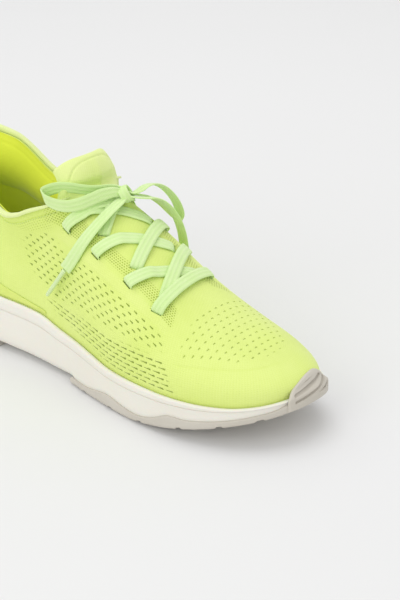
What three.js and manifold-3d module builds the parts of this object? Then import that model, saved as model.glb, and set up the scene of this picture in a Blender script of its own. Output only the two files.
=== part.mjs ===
// Lace-up running shoe for the right foot, in millimetres, +Z up and +X towards the toe.
// The +Y side is the inner (medial) side of the foot, and the -Y side is the outer (lateral) side.
// Shapes are worked out in a heel-based frame: s runs forward from the back of the heel.
import * as THREE from 'three';
import { mergeVertices } from 'three/addons/utils/BufferGeometryUtils.js';
import Module from 'manifold-3d';

const wasm = await Module();
wasm.setup();

// ---------------------------------------------------------------- driving dimensions
const LENGTH = 294;            // sole, heel to toe
const HEEL_ROUND = 44;         // length of the round heel end in plan
const TOE_ROUND = 74;          // length of the round toe end in plan
const TOE_POWER = 2.3;         // fullness of the toe curve
const SIDE_SHIFT = 5.75;       // puts the widest points of the sole evenly about y = 0
const GAP = 0.3;               // clearance between touching pieces
const TREAD = 3.2;             // outsole rubber
const FLANGE = 1.5;            // outsole rubber where it wraps up the side
const FLANGE_OUT = 0.8;        // how far the side flange stands proud of the sole outline
const SHIELD_PROUD = 2.2;      // how far the toe shield stands proud of the sole outline
const SHIELD_HALF = 0.058;     // half of the shield's share of the outline
const SHIELD_RISE = 9.0;       // how far the shield laps up onto the knit
const KNIT_INSET = 3.6;        // knit upper, in from the sole outline
const KNIT = 2.0;              // knit thickness
const OPENING_END = 150;       // perimeter station where the foot opening meets the instep ridge
const STROBEL = 1.5;           // stitched board under the foot
const SOCKLINER = 4.2;         // foam of the removable insole
const TOP_CLOTH = 0.7;         // cloth on the insole
const LACE_WIDTH = 8;
const LACE_THICK = 1.2;
const LACE_LOW = 0.9;          // height of a lace strip lying on the knit
const LACE_HIGH = 2.7;         // height of a strip crossing over another one
const LACE_UNDER = -4.8;       // height of the lace where it runs beneath the knit
const SLIT_STEP = 9.5;         // from an outer lace slit to the inner one beside it

// ---------------------------------------------------------------- small helpers
const V = (x, y, z) => new THREE.Vector3(x, y, z);
const clamp = (t, low, high) => Math.min(Math.max(t, low), high);
const lerp = (a, b, t) => a + (b - a) * t;

function smooth(t) {
  const u = clamp(t, 0, 1);
  return u * u * (3 - 2 * u);
}

function range(low, high, steps) {
  return Array.from({ length: steps + 1 }, (_, i) => lerp(low, high, i / steps));
}

// Monotone cubic curve through hand-placed points, flat beyond both ends.
function curve(xs, ys) {
  const last = xs.length - 1;
  const h = xs.slice(1).map((x, i) => x - xs[i]);
  const d = h.map((step, i) => (ys[i + 1] - ys[i]) / step);
  const m = xs.map((_, i) => {
    if (i === 0) return d[0];
    if (i === last) return d[last - 1];
    if (d[i - 1] * d[i] <= 0) return 0;
    const w1 = 2 * h[i] + h[i - 1];
    const w2 = h[i] + 2 * h[i - 1];
    return (w1 + w2) / (w1 / d[i - 1] + w2 / d[i]);
  });
  return (value) => {
    const x = clamp(value, xs[0], xs[last]);
    let i = 0;
    while (i < last - 1 && x > xs[i + 1]) i += 1;
    const t = (x - xs[i]) / h[i];
    const a = (1 + 2 * t) * (1 - t) ** 2 * ys[i] + t * t * (3 - 2 * t) * ys[i + 1];
    return a + h[i] * (t * (1 - t) ** 2 * m[i] + t * t * (t - 1) * m[i + 1]);
  };
}

// ---------------------------------------------------------------- profiles along the shoe
const outerHalf = curve([0, 50, 100, 130, 160, 200, 230, 260, 300],
  [39, 40, 37, 38, 43.7, 50.4, 52.3, 52.3, 52.3]);
const innerHalf = curve([0, 50, 100, 130, 160, 200, 230, 260, 300],
  [39, 40, 37, 37, 39.5, 42.5, 42.5, 40.5, 35]);
const middle = curve([0, 60, 100, 130, 160, 200, 240, 270, 300],
  [1.2, 0.2, -1.3, -2.3, -2.8, -2.3, 0.2, 2.5, 4.2]);
const rimHeight = curve([0, 40, 77, 110, 133, 154, 182, 218, 245, 264, 281, 292, 300],
  [45, 41, 37.5, 36.3, 31, 29, 24.6, 24, 23.6, 23.9, 25.7, 27.9, 29.4]);
const bedHeight = curve([0, 60, 110, 150, 200, 235, 262, 280, 294],
  [31, 27, 24, 19.5, 14.5, 15.5, 18.8, 22.2, 25.2]);
const archDrop = curve([0, 72, 84, 110, 128, 136, 143, 300], [0, 0, 0.6, 1.2, 1.6, 1.5, 0, 0]);
const flangeHeight = curve([140, 158, 180, 196, 209, 220, 230, 242, 256, 272, 290],
  [4, 4.6, 8, 5.8, 4.5, 5.9, 8.5, 6.2, 5, 4.3, 4.4]);

function groundClearance(s) {
  const toeSpring = 22.4 * clamp((s - 200) / 100, 0, 1) ** 1.4;
  const heelBevel = 4.5 * clamp((22 - s) / 22, 0, 1) ** 2;
  return toeSpring + heelBevel;
}

// The rim of the upper: the foot opening as far as OPENING_END, then the instep ridge.
const TOP_STATIONS = [0, 20, 50, 79, 100, 118, 135, 150, 175, 200, 225, 250, 275, 300];
const topX = curve(TOP_STATIONS, [6, 13, 44, 77, 97, 115, 124, 129, 152, 177, 202, 225, 244, 256]);
const topSpread = curve(TOP_STATIONS, [20, 20.3, 27, 30, 31, 29, 16, 0, 0, 0, 0, 0, 0, 0]);
const openingHeight = curve([0, 20, 38, 50, 62, 79, 90, 100, 110, 118, 135, 150],
  [122.5, 120.5, 116, 107.5, 98, 89.5, 92, 96.6, 101.4, 104.8, 110, 111.5]);
const ridgeHeight = curve([120, 129, 140, 160, 180, 200, 220, 240, 260, 280],
  [114, 111.5, 107.5, 98, 85, 72.5, 62, 54, 47.5, 41]);
const ridgeSide = curve([0, 80, 130, 200, 262], [3, 3, 4, 0, 3]);
const heelTurn = (s) => Math.sqrt(1 - (1 - clamp(s / HEEL_ROUND, 0, 1)) ** 2);
const topHalf = (s) => topSpread(s) * heelTurn(s);
const ridgeSlope = (x) => (ridgeHeight(x + 1) - ridgeHeight(x - 1)) / 2;

// ---------------------------------------------------------------- the sole outline
// p runs round the outline: 0 is the heel, 1 (or -1) the toe, positive on the inner side.
const HEEL_SHARE = 0.16;
const TOE_SHARE = 0.74;
const TOE_START = LENGTH - TOE_ROUND;

function station(q) {
  if (q < HEEL_SHARE) {
    const turn = (q / HEEL_SHARE) * Math.PI / 2;
    return { s: HEEL_ROUND * (1 - Math.cos(turn)), width: Math.sin(turn) };
  }
  if (q > TOE_SHARE) {
    const turn = ((q - TOE_SHARE) / (1 - TOE_SHARE)) * Math.PI / 2;
    const s = TOE_START + TOE_ROUND * Math.sin(turn) ** (2 / TOE_POWER);
    return { s, width: Math.max(Math.cos(turn), 0) ** (2 / TOE_POWER) };
  }
  const share = (q - HEEL_SHARE) / (TOE_SHARE - HEEL_SHARE);
  return { s: lerp(HEEL_ROUND, TOE_START, share), width: 1 };
}

// The share of the way round, 0 to 1, at which the outline reaches a station.
function shareAt(s) {
  if (s < HEEL_ROUND) return HEEL_SHARE * Math.acos(1 - s / HEEL_ROUND) / (Math.PI / 2);
  if (s > TOE_START) {
    const turn = Math.asin(clamp((s - TOE_START) / TOE_ROUND, 0, 1) ** (TOE_POWER / 2));
    return TOE_SHARE + (1 - TOE_SHARE) * turn / (Math.PI / 2);
  }
  return HEEL_SHARE + (TOE_SHARE - HEEL_SHARE) * (s - HEEL_ROUND) / (TOE_START - HEEL_ROUND);
}

const wrap = (p) => (p > 1 ? p - 2 : p < -1 ? p + 2 : p);

function outlineEdge(p) {
  const w = wrap(p);
  const { s, width } = station(Math.abs(w));
  const half = w < 0 ? -outerHalf(s) : innerHalf(s);
  return V(s, middle(s) + half * width, 0);
}

// A point on the outline, moved towards the middle of the shoe by inset.
function outline(p, inset) {
  const before = outlineEdge(p - 0.001);
  const after = outlineEdge(p + 0.001);
  const along = after.sub(before).normalize();
  return outlineEdge(p).add(V(along.y, -along.x, 0).multiplyScalar(inset));
}

const stationOf = (p) => station(Math.abs(wrap(p))).s;

// ---------------------------------------------------------------- the outer face of the upper
// v runs up a rib of the upper: 0 inside the sole cup, CUP_SHARE at the cup's rim, 1 at the top.
const CUP_SHARE = 0.1;
const cupDepth = (s) => rimHeight(s) - bedHeight(s) - GAP;

function rib(p) {
  const w = wrap(p);
  const side = Math.sign(w) || 1;
  const s = stationOf(w);
  const foot = outline(w, KNIT_INSET);
  foot.z = rimHeight(s);
  const outward = outline(w, KNIT_INSET - 1).sub(outline(w, KNIT_INSET));
  const x = topX(s);
  const height = s < OPENING_END ? openingHeight(s) : ridgeHeight(x);
  const top = V(x, ridgeSide(x) + side * topHalf(s), height);
  const rise = top.z - foot.z;
  const flat = V(foot.x - top.x, foot.y - top.y, 0);
  const front = smooth((s - 105) / 45);
  const heel = clamp(1 - s / 60, 0, 1) ** 1.2;
  const low = foot.clone().addScaledVector(outward, 2 + 3 * heel + 2 * front);
  low.z += rise * (0.36 + 0.14 * front);
  const wall = outward.clone().multiplyScalar(-3 - 11 * heel);
  wall.z -= rise * 0.4;
  const innerBulge = side > 0 ? 0.07 * clamp(1 - Math.abs(s - 175) / 55, 0, 1) : 0;
  const toeFullness = 0.1 * smooth((s - 240) / 30);
  const over = flat.clone().multiplyScalar(0.58 + innerBulge + toeFullness);
  over.z = ridgeSlope(x) * over.x * smooth((s - 116) / 34);
  const high = top.clone().addScaledVector(wall, 1 - front).addScaledVector(over, front);
  return [foot, low, high, top];
}

function upperPoint(p, v) {
  const [a, b, c, d] = rib(p);
  const t = clamp((v - CUP_SHARE) / (1 - CUP_SHARE), 0, 1);
  const point = a.multiplyScalar((1 - t) ** 3)
    .addScaledVector(b, 3 * t * (1 - t) ** 2)
    .addScaledVector(c, 3 * t * t * (1 - t))
    .addScaledVector(d, t ** 3);
  point.z -= cupDepth(stationOf(p)) * clamp((CUP_SHARE - v) / CUP_SHARE, 0, 1);
  return point;
}

function upperNormal(p, v) {
  const step = 0.002;
  const around = upperPoint(p + step, v).sub(upperPoint(p - step, v));
  const up = upperPoint(p, Math.min(v + step, 1)).sub(upperPoint(p, Math.max(v - step, 0)));
  const normal = up.cross(around).normalize();
  const s = stationOf(p);
  if (s < OPENING_END) return normal;
  const ridge = V(-ridgeSlope(topX(s)), 0, 1).normalize();
  return normal.lerp(ridge, smooth((v - 0.93) / 0.07)).normalize();
}

// A point at a depth beneath the outer face of the upper; a negative depth stands proud of it.
const beneath = (p, v, depth) => upperPoint(p, v).addScaledVector(upperNormal(p, v), -depth);

// ---------------------------------------------------------------- closed solids from grids
const keyOf = (point) => `${point.x.toFixed(4)},${point.y.toFixed(4)},${point.z.toFixed(4)}`;

function gridTriangles(grid, flip) {
  const triangles = [];
  for (let i = 0; i < grid.length - 1; i += 1) {
    for (let j = 0; j < grid[i].length - 1; j += 1) {
      const [a, b, c, d] = [grid[i][j], grid[i + 1][j], grid[i + 1][j + 1], grid[i][j + 1]];
      triangles.push(flip ? [a, c, b] : [a, b, c], flip ? [a, d, c] : [a, c, d]);
    }
  }
  return triangles;
}

// The border of a grid as directed edges, in the direction that its quads run.
function borderEdges(grid) {
  const rows = grid.length - 1;
  const columns = grid[0].length - 1;
  const edges = [];
  for (let i = 0; i < rows; i += 1) {
    edges.push([[i, 0], [i + 1, 0]], [[i + 1, columns], [i, columns]]);
  }
  for (let j = 0; j < columns; j += 1) {
    edges.push([[rows, j], [rows, j + 1]], [[0, j + 1], [0, j]]);
  }
  return edges;
}

function toGeometry(triangles) {
  const kept = triangles.filter(([a, b, c]) => {
    const keys = new Set([keyOf(a), keyOf(b), keyOf(c)]);
    return keys.size === 3;
  });
  let volume = 0;
  kept.forEach(([a, b, c]) => { volume += a.dot(b.clone().cross(c)); });
  const numbers = [];
  kept.forEach(([a, b, c]) => {
    const corners = volume > 0 ? [a, b, c] : [a, c, b];
    corners.forEach((corner) => numbers.push(corner.x, corner.y, corner.z));
  });
  const geometry = new THREE.BufferGeometry();
  geometry.setAttribute('position', new THREE.Float32BufferAttribute(numbers, 3));
  return mergeVertices(geometry, 0.0004);
}

// A closed body between two matching grids. Where two border edges meet, no rim is needed.
function shell(outer, inner) {
  const triangles = [...gridTriangles(outer, false), ...gridTriangles(inner, true)];
  const edges = borderEdges(outer);
  const at = ([i, j]) => outer[i][j];
  const seen = new Set(edges.map(([a, b]) => `${keyOf(at(a))}|${keyOf(at(b))}`));
  edges.forEach(([a, b]) => {
    if (seen.has(`${keyOf(at(b))}|${keyOf(at(a))}`)) return;
    const [innerA, innerB] = [inner[a[0]][a[1]], inner[b[0]][b[1]]];
    triangles.push([at(b), at(a), innerA], [at(b), innerA, innerB]);
  });
  return toGeometry(triangles);
}

// A closed body from one grid whose border edges all meet each other.
const closedGrid = (grid) => toGeometry(gridTriangles(grid, false));

// A patch of the upper, between two depths beneath its outer face.
function patch(ps, vs, outerDepth, innerDepth) {
  const side = (depth) => ps.map((p) => vs(p).map((v) => beneath(p, v, depth(p, v))));
  return shell(side(outerDepth), side(innerDepth));
}

const depthOf = (value) => () => value;

// A closed band of rectangular section along points, with one width direction for each point.
function ribbon(points, widths, width, thick) {
  const sections = points.map((point, i) => {
    const before = points[Math.max(i - 1, 0)];
    const after = points[Math.min(i + 1, points.length - 1)];
    const along = after.clone().sub(before).normalize();
    const across = widths[i].clone().normalize();
    const face = along.clone().cross(across).normalize();
    const corner = (a, b) => point.clone()
      .addScaledVector(across, a * width / 2)
      .addScaledVector(face, b * thick / 2);
    return [corner(-1, -1), corner(1, -1), corner(1, 1), corner(-1, 1), corner(-1, -1)];
  });
  const triangles = gridTriangles(sections, false);
  const cap = (ring, flip) => {
    const [a, b, c, d] = ring;
    triangles.push(flip ? [a, b, c] : [a, c, b], flip ? [a, c, d] : [a, d, c]);
  };
  cap(sections[0], true);
  cap(sections[sections.length - 1], false);
  return toGeometry(triangles);
}

// ---------------------------------------------------------------- joins and cuts
function toSolid(geometry) {
  const merged = mergeVertices(geometry.clone().deleteAttribute('normal').deleteAttribute('uv'), 0.0004);
  return new wasm.Manifold(new wasm.Mesh({
    numProp: 3,
    vertProperties: Float32Array.from(merged.attributes.position.array),
    triVerts: Uint32Array.from(merged.index.array),
  }));
}

// The largest body of a solid; a cut can leave crumbs beside it.
function fromSolid(solid) {
  const bodies = solid.decompose().sort((a, b) => b.volume() - a.volume());
  const mesh = bodies[0].getMesh();
  const geometry = new THREE.BufferGeometry();
  geometry.setAttribute('position', new THREE.Float32BufferAttribute(mesh.vertProperties, 3));
  geometry.setIndex(new THREE.Uint32BufferAttribute(mesh.triVerts, 1));
  return geometry;
}

const cutAll = (geometry, cutters) => fromSolid(
  cutters.reduce((solid, cutter) => solid.subtract(toSolid(cutter)), toSolid(geometry)),
);

// A box whose own axes lie along three given directions.
function orientedBox(size, centre, xAxis, zAxis) {
  const z = zAxis.clone().normalize();
  const x = xAxis.clone().addScaledVector(z, -z.dot(xAxis)).normalize();
  const frame = new THREE.Matrix4().makeBasis(x, z.clone().cross(x), z).setPosition(centre);
  return new THREE.BoxGeometry(...size).applyMatrix4(frame);
}

// ---------------------------------------------------------------- shared grid lines
// Layers that lie on each other share these lines, so that their flat facets keep their gap.
const HALF_AROUND = [
  ...range(0, HEEL_SHARE, 5),
  ...range(HEEL_SHARE, shareAt(114), 4).slice(1),
  ...range(shareAt(114), shareAt(OPENING_END), 4).slice(1),
  ...range(shareAt(OPENING_END), TOE_SHARE, 6).slice(1),
  ...range(TOE_SHARE, 1 - SHIELD_HALF, 5).slice(1),
  ...range(1 - SHIELD_HALF, 1, 3).slice(1),
];
const AROUND = [...HALF_AROUND.slice(1).map((p) => -p).reverse(), ...HALF_AROUND];
const ROWS = [0, 0.1, 0.18, 0.29, 0.4, 0.51, 0.6, 0.69, 0.78, 0.87, 0.95, 1];
const NEAR = 0.0001;

const gridBetween = (low, high) => AROUND.filter((p) => p > low - NEAR && p < high + NEAR);
const rowsBetween = (low, high) => ROWS.filter((v) => v > low - NEAR && v < high + NEAR);

// ---------------------------------------------------------------- sole pieces

// Where a point of the outline lands when the sole is shrunk onto its middle line.
function spinePoint(p) {
  const s = clamp(stationOf(p), HEEL_ROUND, TOE_START);
  return V(s, middle(s) + (innerHalf(s) - outerHalf(s)) / 2, 0);
}

// One ring of a sole piece: inset from the outline, or drawn in towards the spine.
function soleRing(ps, inset, draw, height) {
  return ps.map((p) => {
    const edge = outline(p, inset);
    const point = edge.clone().lerp(spinePoint(p), draw);
    const along = lerp(stationOf(p), clamp(stationOf(p), HEEL_ROUND, TOE_START), draw);
    point.z = height(along, p);
    return point;
  });
}

const ringsToGrid = (rings) => rings[0].map((_, i) => rings.map((ring) => ring[i]));

const midsoleBottom = (s) => groundClearance(s) + TREAD + 2 * GAP - archDrop(s);

function buildMidsole() {
  const flangeRoom = (p) => smooth((stationOf(p) - 135) / 12) * (FLANGE - FLANGE_OUT + GAP);
  const wall = (share, inset) => AROUND.map((p) => {
    const s = stationOf(p);
    const room = flangeRoom(p) * (1 - smooth((share - 0.45) / 0.2));
    const point = outline(p, Math.max(inset, room));
    point.z = lerp(midsoleBottom(s), rimHeight(s), share);
    return point;
  });
  const bed = (drop) => (s) => bedHeight(s) - drop;
  const rings = [
    soleRing(AROUND, 4, 1, midsoleBottom),
    soleRing(AROUND, 4, 0.5, midsoleBottom),
    soleRing(AROUND, 4, 0, midsoleBottom),
    wall(0.05, 2.4),
    wall(0.18, 1.1),
    wall(0.42, 0.9),
    wall(0.66, 0.7),
    wall(0.84, 0),
    wall(0.93, 0.1),
    wall(1, 1.2),
    wall(0.985, 3.1),
    soleRing(AROUND, KNIT_INSET - GAP, 0, (s) => rimHeight(s) - 2),
    soleRing(AROUND, KNIT_INSET - GAP, 0, bed(0)),
    soleRing(AROUND, KNIT_INSET + 4, 0, bed(0)),
    soleRing(AROUND, KNIT_INSET + 4, 0.5, bed(0.6)),
    soleRing(AROUND, KNIT_INSET + 4, 1, bed(0.8)),
  ];
  return closedGrid(ringsToGrid(rings));
}

// A flat sheet that fills the outline, resting just above the midsole bed.
function bedSheet(inset, lift, thick) {
  const face = (height) => ringsToGrid([0, 0.5, 1].map(
    (draw) => soleRing(AROUND, inset, draw, (s) => bedHeight(s) + height),
  ));
  return shell(face(lift + thick), face(lift));
}

function treadGrooves(stations, halfWidth, depth) {
  return stations.map((s) => {
    const slope = (groundClearance(s + 1) - groundClearance(s - 1)) / 2;
    const centre = V(s, middle(s), groundClearance(s));
    return orientedBox([3.4, 2 * halfWidth, 2 * depth], centre, V(1, 0, slope), V(-slope, 0, 1));
  });
}

// Forefoot rubber: tread, side flanges with their wave, and the shield that wraps the toe.
function buildForefootOutsole() {
  const half = HALF_AROUND.filter((p) => p > shareAt(142));
  const ps = [...half, ...half.slice(0, -1).reverse().map((p) => 2 - p)];
  const lift = (height) => (s) => groundClearance(s) + height;
  const flange = (p) => flangeHeight(stationOf(p));
  const sheet = (inset, share, extra) => ps.map((p) => {
    const point = outline(p, inset);
    point.z = groundClearance(stationOf(p)) + lerp(extra, flange(p), share);
    return point;
  });
  const outer = [
    sheet(-FLANGE_OUT, 1, 0), sheet(-FLANGE_OUT, 0.5, 2), sheet(-FLANGE_OUT + 0.5, 0, 1.4),
    soleRing(ps, 2.5, 0, lift(0)), soleRing(ps, 2.5, 0.5, lift(0)), soleRing(ps, 2.5, 1, lift(0)),
  ];
  const inside = FLANGE - FLANGE_OUT;
  const inner = [
    sheet(inside, 1, 0), sheet(inside, 0.5, TREAD + 0.4), sheet(inside + 0.3, 0.1, TREAD),
    soleRing(ps, 4, 0, lift(TREAD)), soleRing(ps, 4, 0.5, lift(TREAD)), soleRing(ps, 4, 1, lift(TREAD)),
  ];
  const sheetSolid = toSolid(shell(ringsToGrid(outer), ringsToGrid(inner)));
  const grooves = treadGrooves([157, 183, 209, 238, 262, 281], 70, 1.5);
  const cut = grooves.reduce((solid, groove) => solid.subtract(toSolid(groove)), sheetSolid);
  return fromSolid(toeShieldCutters().reduce(
    (solid, groove) => solid.subtract(toSolid(groove)),
    cut.add(toSolid(toeShield())),
  ));
}

// The share up a rib at which the upper reaches a height.
function riseTo(p, z) {
  let [low, high] = [CUP_SHARE, 0.6];
  for (let i = 0; i < 20; i += 1) {
    const mid = (low + high) / 2;
    if (upperPoint(p, mid).z < z) low = mid;
    else high = mid;
  }
  return low;
}

// The shield stands on the toe wall of the midsole and laps onto the front of the upper.
// Its top edge peaks on the inner side of the toe.
function shieldTop(p) {
  const place = (p - 1) / SHIELD_HALF + 0.25;
  return SHIELD_RISE * Math.max(0, 1 - (place / (place > 0 ? 1.25 : 0.75)) ** 2) ** 0.7;
}

function shieldPoint(p, share, proud) {
  const s = stationOf(p);
  const rim = rimHeight(s);
  const z = lerp(groundClearance(s) + 2, rim + shieldTop(p), share);
  const onSole = outline(p, -proud).setZ(z);
  if (z <= rim + 1) return onSole;
  const onKnit = beneath(wrap(p), riseTo(wrap(p), z), -proud - GAP);
  return onSole.lerp(onKnit, smooth((z - rim - 1) / 4));
}

function toeShield() {
  const half = HALF_AROUND.filter((p) => p > 1 - SHIELD_HALF - NEAR);
  const ps = [...half, ...half.slice(0, -1).reverse().map((p) => 2 - p)];
  const face = (proud) => ps.map((p) => range(0, 1, 6).map((share) => shieldPoint(p, share, proud)));
  return shell(face(SHIELD_PROUD), face(0.7));
}

// Three slanting grooves in the face of the shield.
function toeShieldCutters() {
  const cutters = [];
  [-1, 0, 1].forEach((row) => {
    range(1 - 0.6 * SHIELD_HALF, 1 + 0.6 * SHIELD_HALF, 4).forEach((p) => {
      const share = 0.5 + row * 0.17 + (p - 1) * 3;
      const centre = shieldPoint(p, share, SHIELD_PROUD);
      const next = shieldPoint(p + 0.015, share + 0.045, SHIELD_PROUD);
      const out = shieldPoint(p, share, 4).sub(centre);
      cutters.push(orientedBox([6.4, 1.4, 1.2], centre, next.sub(centre), out));
    });
  });
  return cutters;
}

// Heel rubber: one pad on each side of a centre channel.
function buildHeelPad(side) {
  const stations = range(shareAt(5), shareAt(70), 12);
  const ring = (inset, height) => stations.map((q) => {
    const point = outline(side * q, inset);
    point.z = groundClearance(point.x) + height;
    return point;
  });
  const channel = (height) => stations.map((q) => {
    const edge = outline(side * q, 4);
    const reach = Math.min(9, Math.abs(edge.y - middle(edge.x)) * 0.4);
    return V(edge.x, middle(edge.x) + side * reach, groundClearance(edge.x) + height);
  });
  const outer = [ring(2.4, TREAD), ring(2.0, TREAD * 0.5), ring(3.2, 0), channel(0)];
  const inner = [ring(2.6, TREAD), ring(4, TREAD), ring(8, TREAD), channel(TREAD)];
  const solid = shell(ringsToGrid(outer), ringsToGrid(inner));
  return cutAll(solid, treadGrooves([24, 41, 57], 60, 1.3));
}

// ---------------------------------------------------------------- lace slits and the lace route
// Outer slits from the ankle to the toe, as plan positions on each side of the instep.
const SLITS = {
  outer: [V(127, -24.5, 0), V(155, -29, 0), V(182, -30.5, 0), V(205, -31, 0)],
  inner: [V(133.5, 24.3, 0), V(164, 21, 0), V(182, 20.5, 0), V(201, 20, 0)],
};
const KNOT_CENTRE = V(149.5, 4.5, 111.2);
const INBOARD = { outer: V(-0.2, 1, 0).normalize(), inner: V(-0.05, -1, 0).normalize() };
const TOP_INBOARD = { outer: V(0.5, 0.75, 0), inner: V(0.22, -0.86, 0) };
const knotEnd = (side) => KNOT_CENTRE.clone().add(side === 'outer' ? V(-5.5, -6.6, 0) : V(-4.5, 6.4, 0));

const vampSamples = [];
range(shareAt(112), 1, 260).forEach((q) => {
  [-1, 1].forEach((side) => {
    range(0.3, 1, 110).forEach((v) => {
      vampSamples.push({ p: side * q, v, point: upperPoint(side * q, v) });
    });
  });
});

// The outer face above or below a plan position on the instep, with its normal.
function onVamp(x, y, height) {
  let best = vampSamples[0];
  let least = Infinity;
  vampSamples.forEach((sample) => {
    const distance = (sample.point.x - x) ** 2 + (sample.point.y - y) ** 2;
    if (distance < least) {
      least = distance;
      best = sample;
    }
  });
  const normal = upperNormal(best.p, best.v);
  const lift = -(normal.x * (x - best.point.x) + normal.y * (y - best.point.y)) / normal.z;
  const point = V(x, y, best.point.z + lift).addScaledVector(normal, height);
  return { point, normal };
}

const outerSlit = (side, row) => SLITS[side][row];

// The inner slit lies inboard of the outer one; the top pair is turned towards the knot.
function innerSlit(side, row) {
  const inboard = row === 0 ? TOP_INBOARD : INBOARD;
  return SLITS[side][row].clone().addScaledVector(inboard[side], SLIT_STEP);
}

const otherSide = (side) => (side === 'outer' ? 'inner' : 'outer');

// Where the strip that passes through a slit comes from or goes to.
function outerSlitFar(side, row) {
  return row === 3 ? outerSlit(otherSide(side), 3) : innerSlit(otherSide(side), row + 1);
}

function innerSlitFar(side, row) {
  return row === 0 ? knotEnd(side) : outerSlit(otherSide(side), row - 1);
}

// The width direction of the lace in a slit: square to its strip, flat on the surface, to the toe.
function slitAxis(place, far, normal) {
  const along = V(far.x - place.x, far.y - place.y, 0);
  along.z = -(normal.x * along.x + normal.y * along.y) / normal.z;
  const axis = normal.clone().cross(along).normalize();
  return axis.x < 0 ? axis.negate() : axis;
}

function slitCutters(side) {
  const cutters = [];
  for (let row = 0; row < 4; row += 1) {
    const outer = [outerSlit(side, row), outerSlitFar(side, row)];
    const inner = [innerSlit(side, row), innerSlitFar(side, row)];
    [outer, inner].forEach(([place, far]) => {
      const { point, normal } = onVamp(place.x, place.y, -2);
      const axis = slitAxis(place, far, normal);
      cutters.push(orientedBox([LACE_WIDTH + 2.8, LACE_THICK + 2.8, 10], point, axis, normal));
    });
  }
  return cutters;
}

// Points along a straight plan route over the knit, with the lace's width square to the route.
function overKnit(from, to, ts, heightAt) {
  return ts.map((t) => {
    const place = from.clone().lerp(to, t);
    const step = onVamp(place.x, place.y, heightAt(t));
    return { ...step, axis: slitAxis(from, to, step.normal) };
  });
}

// One strip over the instep, from an inner slit to an outer slit on the other side.
function stripPath(from, to, startHeight, crossHeight, endHeight) {
  const heightAt = (t) => {
    const toCross = lerp(startHeight, crossHeight, smooth(t / 0.38));
    return t < 0.5 ? toCross : lerp(crossHeight, endHeight, smooth((t - 0.56) / 0.14));
  };
  return overKnit(from, to, range(0.05, 0.985, 11), heightAt);
}

// Down through the outer slit, beneath the knit, and up through the inner one.
function passPath(side, row) {
  const from = outerSlit(side, row);
  const to = innerSlit(side, row);
  const depths = [[0, 0.6], [0, -2], [0, LACE_UNDER + 0.5], [0.09, LACE_UNDER], [0.5, LACE_UNDER],
    [0.91, LACE_UNDER], [1, LACE_UNDER + 0.5], [1, -2], [1, 0.1]];
  return depths.map(([share, height]) => {
    const place = from.clone().lerp(to, share);
    const step = onVamp(place.x, place.y, height);
    const first = slitAxis(from, outerSlitFar(side, row), step.normal);
    const last = slitAxis(to, innerSlitFar(side, row), step.normal);
    return { ...step, axis: first.lerp(last, share) };
  });
}

// The lace between the knot and one end of the bottom bar, listed from the bar upwards.
function laceSide(startSide) {
  const steps = [];
  let side = startSide;
  for (let row = 3; row >= 1; row -= 1) {
    const over = side === 'outer' ? LACE_HIGH : LACE_LOW;
    const next = otherSide(side);
    steps.push(...passPath(side, row));
    steps.push(...stripPath(innerSlit(side, row), outerSlit(next, row - 1), LACE_LOW, over, LACE_HIGH));
    side = next;
  }
  const heightAt = (t) => lerp(LACE_LOW + 0.8, 2.3, smooth(t / 0.3));
  const toKnot = overKnit(innerSlit(side, 0), knotEnd(side), range(0.08, 1, 7), heightAt);
  return [...steps, ...passPath(side, 0), ...toKnot];
}

function buildLace() {
  const bar = stripPath(outerSlit('outer', 3), outerSlit('inner', 3), LACE_HIGH, LACE_HIGH, LACE_HIGH);
  const steps = [...laceSide('outer').reverse(), ...bar, ...laceSide('inner')];
  return ribbon(steps.map((step) => step.point), steps.map((step) => step.axis), LACE_WIDTH, LACE_THICK);
}

// ---------------------------------------------------------------- the bow
// The free lace pieces run through hand-placed points; the last value is the width direction.
const CORDS = {
  bow_loop_lateral: {
    points: [[143, -1.4, 115.2], [137.2, -8.5, 115.2], [131.1, -12.5, 115.5], [124.5, -16, 116],
      [117.8, -19.5, 115.7], [112.8, -23, 114.2], [110.6, -26.8, 112.4], [114.2, -29, 110.4],
      [121.5, -28, 108.4], [128.9, -24.5, 107.9], [135.1, -20.5, 109.6], [139.4, -16, 111.8],
      [142.4, -10.4, 113.6]],
    widths: [[0, -0.5, 0.86], [-0.2, 0, 0.98]],
  },
  bow_loop_medial: {
    points: [[154.8, 11.5, 113.6], [155.2, 16, 115], [155.8, 22, 114.6], [156.6, 29, 111],
      [157.6, 36, 103.8], [157.8, 41.5, 95], [157, 43.8, 88.5], [155, 43.5, 85.6], [153, 40.8, 88.8],
      [151.5, 36, 94.5], [150.6, 29, 100.8], [150.4, 20.5, 106.2], [150.6, 14.2, 108.8]],
    widths: [[1, 0, 0.25], [1, -0.1, 0.1]],
  },
  lace_tail_lateral: {
    points: [[151, -4.5, 109], [151.2, -9.5, 107.3], [151.2, -14.5, 105.2], [150.4, -19.5, 102],
      [148.6, -24.6, 97.4], [145.6, -29.4, 91], [142.6, -32.8, 84.2], [139.4, -34.8, 78.2],
      [136.2, -36.6, 72.8]],
    widths: [[0.97, 0.22, 0.05], [0.9, 0.25, 0.3]],
  },
  lace_tail_medial: {
    points: [[160.2, 11, 110], [161.6, 16, 108.8], [163, 21.5, 105.6], [164.4, 27.2, 99.4],
      [165.4, 32.2, 91], [165.6, 35.8, 81.6], [165.2, 38, 72.4], [164.6, 39.6, 64],
      [164, 41, 56.5]],
    widths: [[0.96, -0.2, 0.2], [0.99, 0, 0.05]],
  },
};
const CORD_STEP = 2.6;

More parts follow.
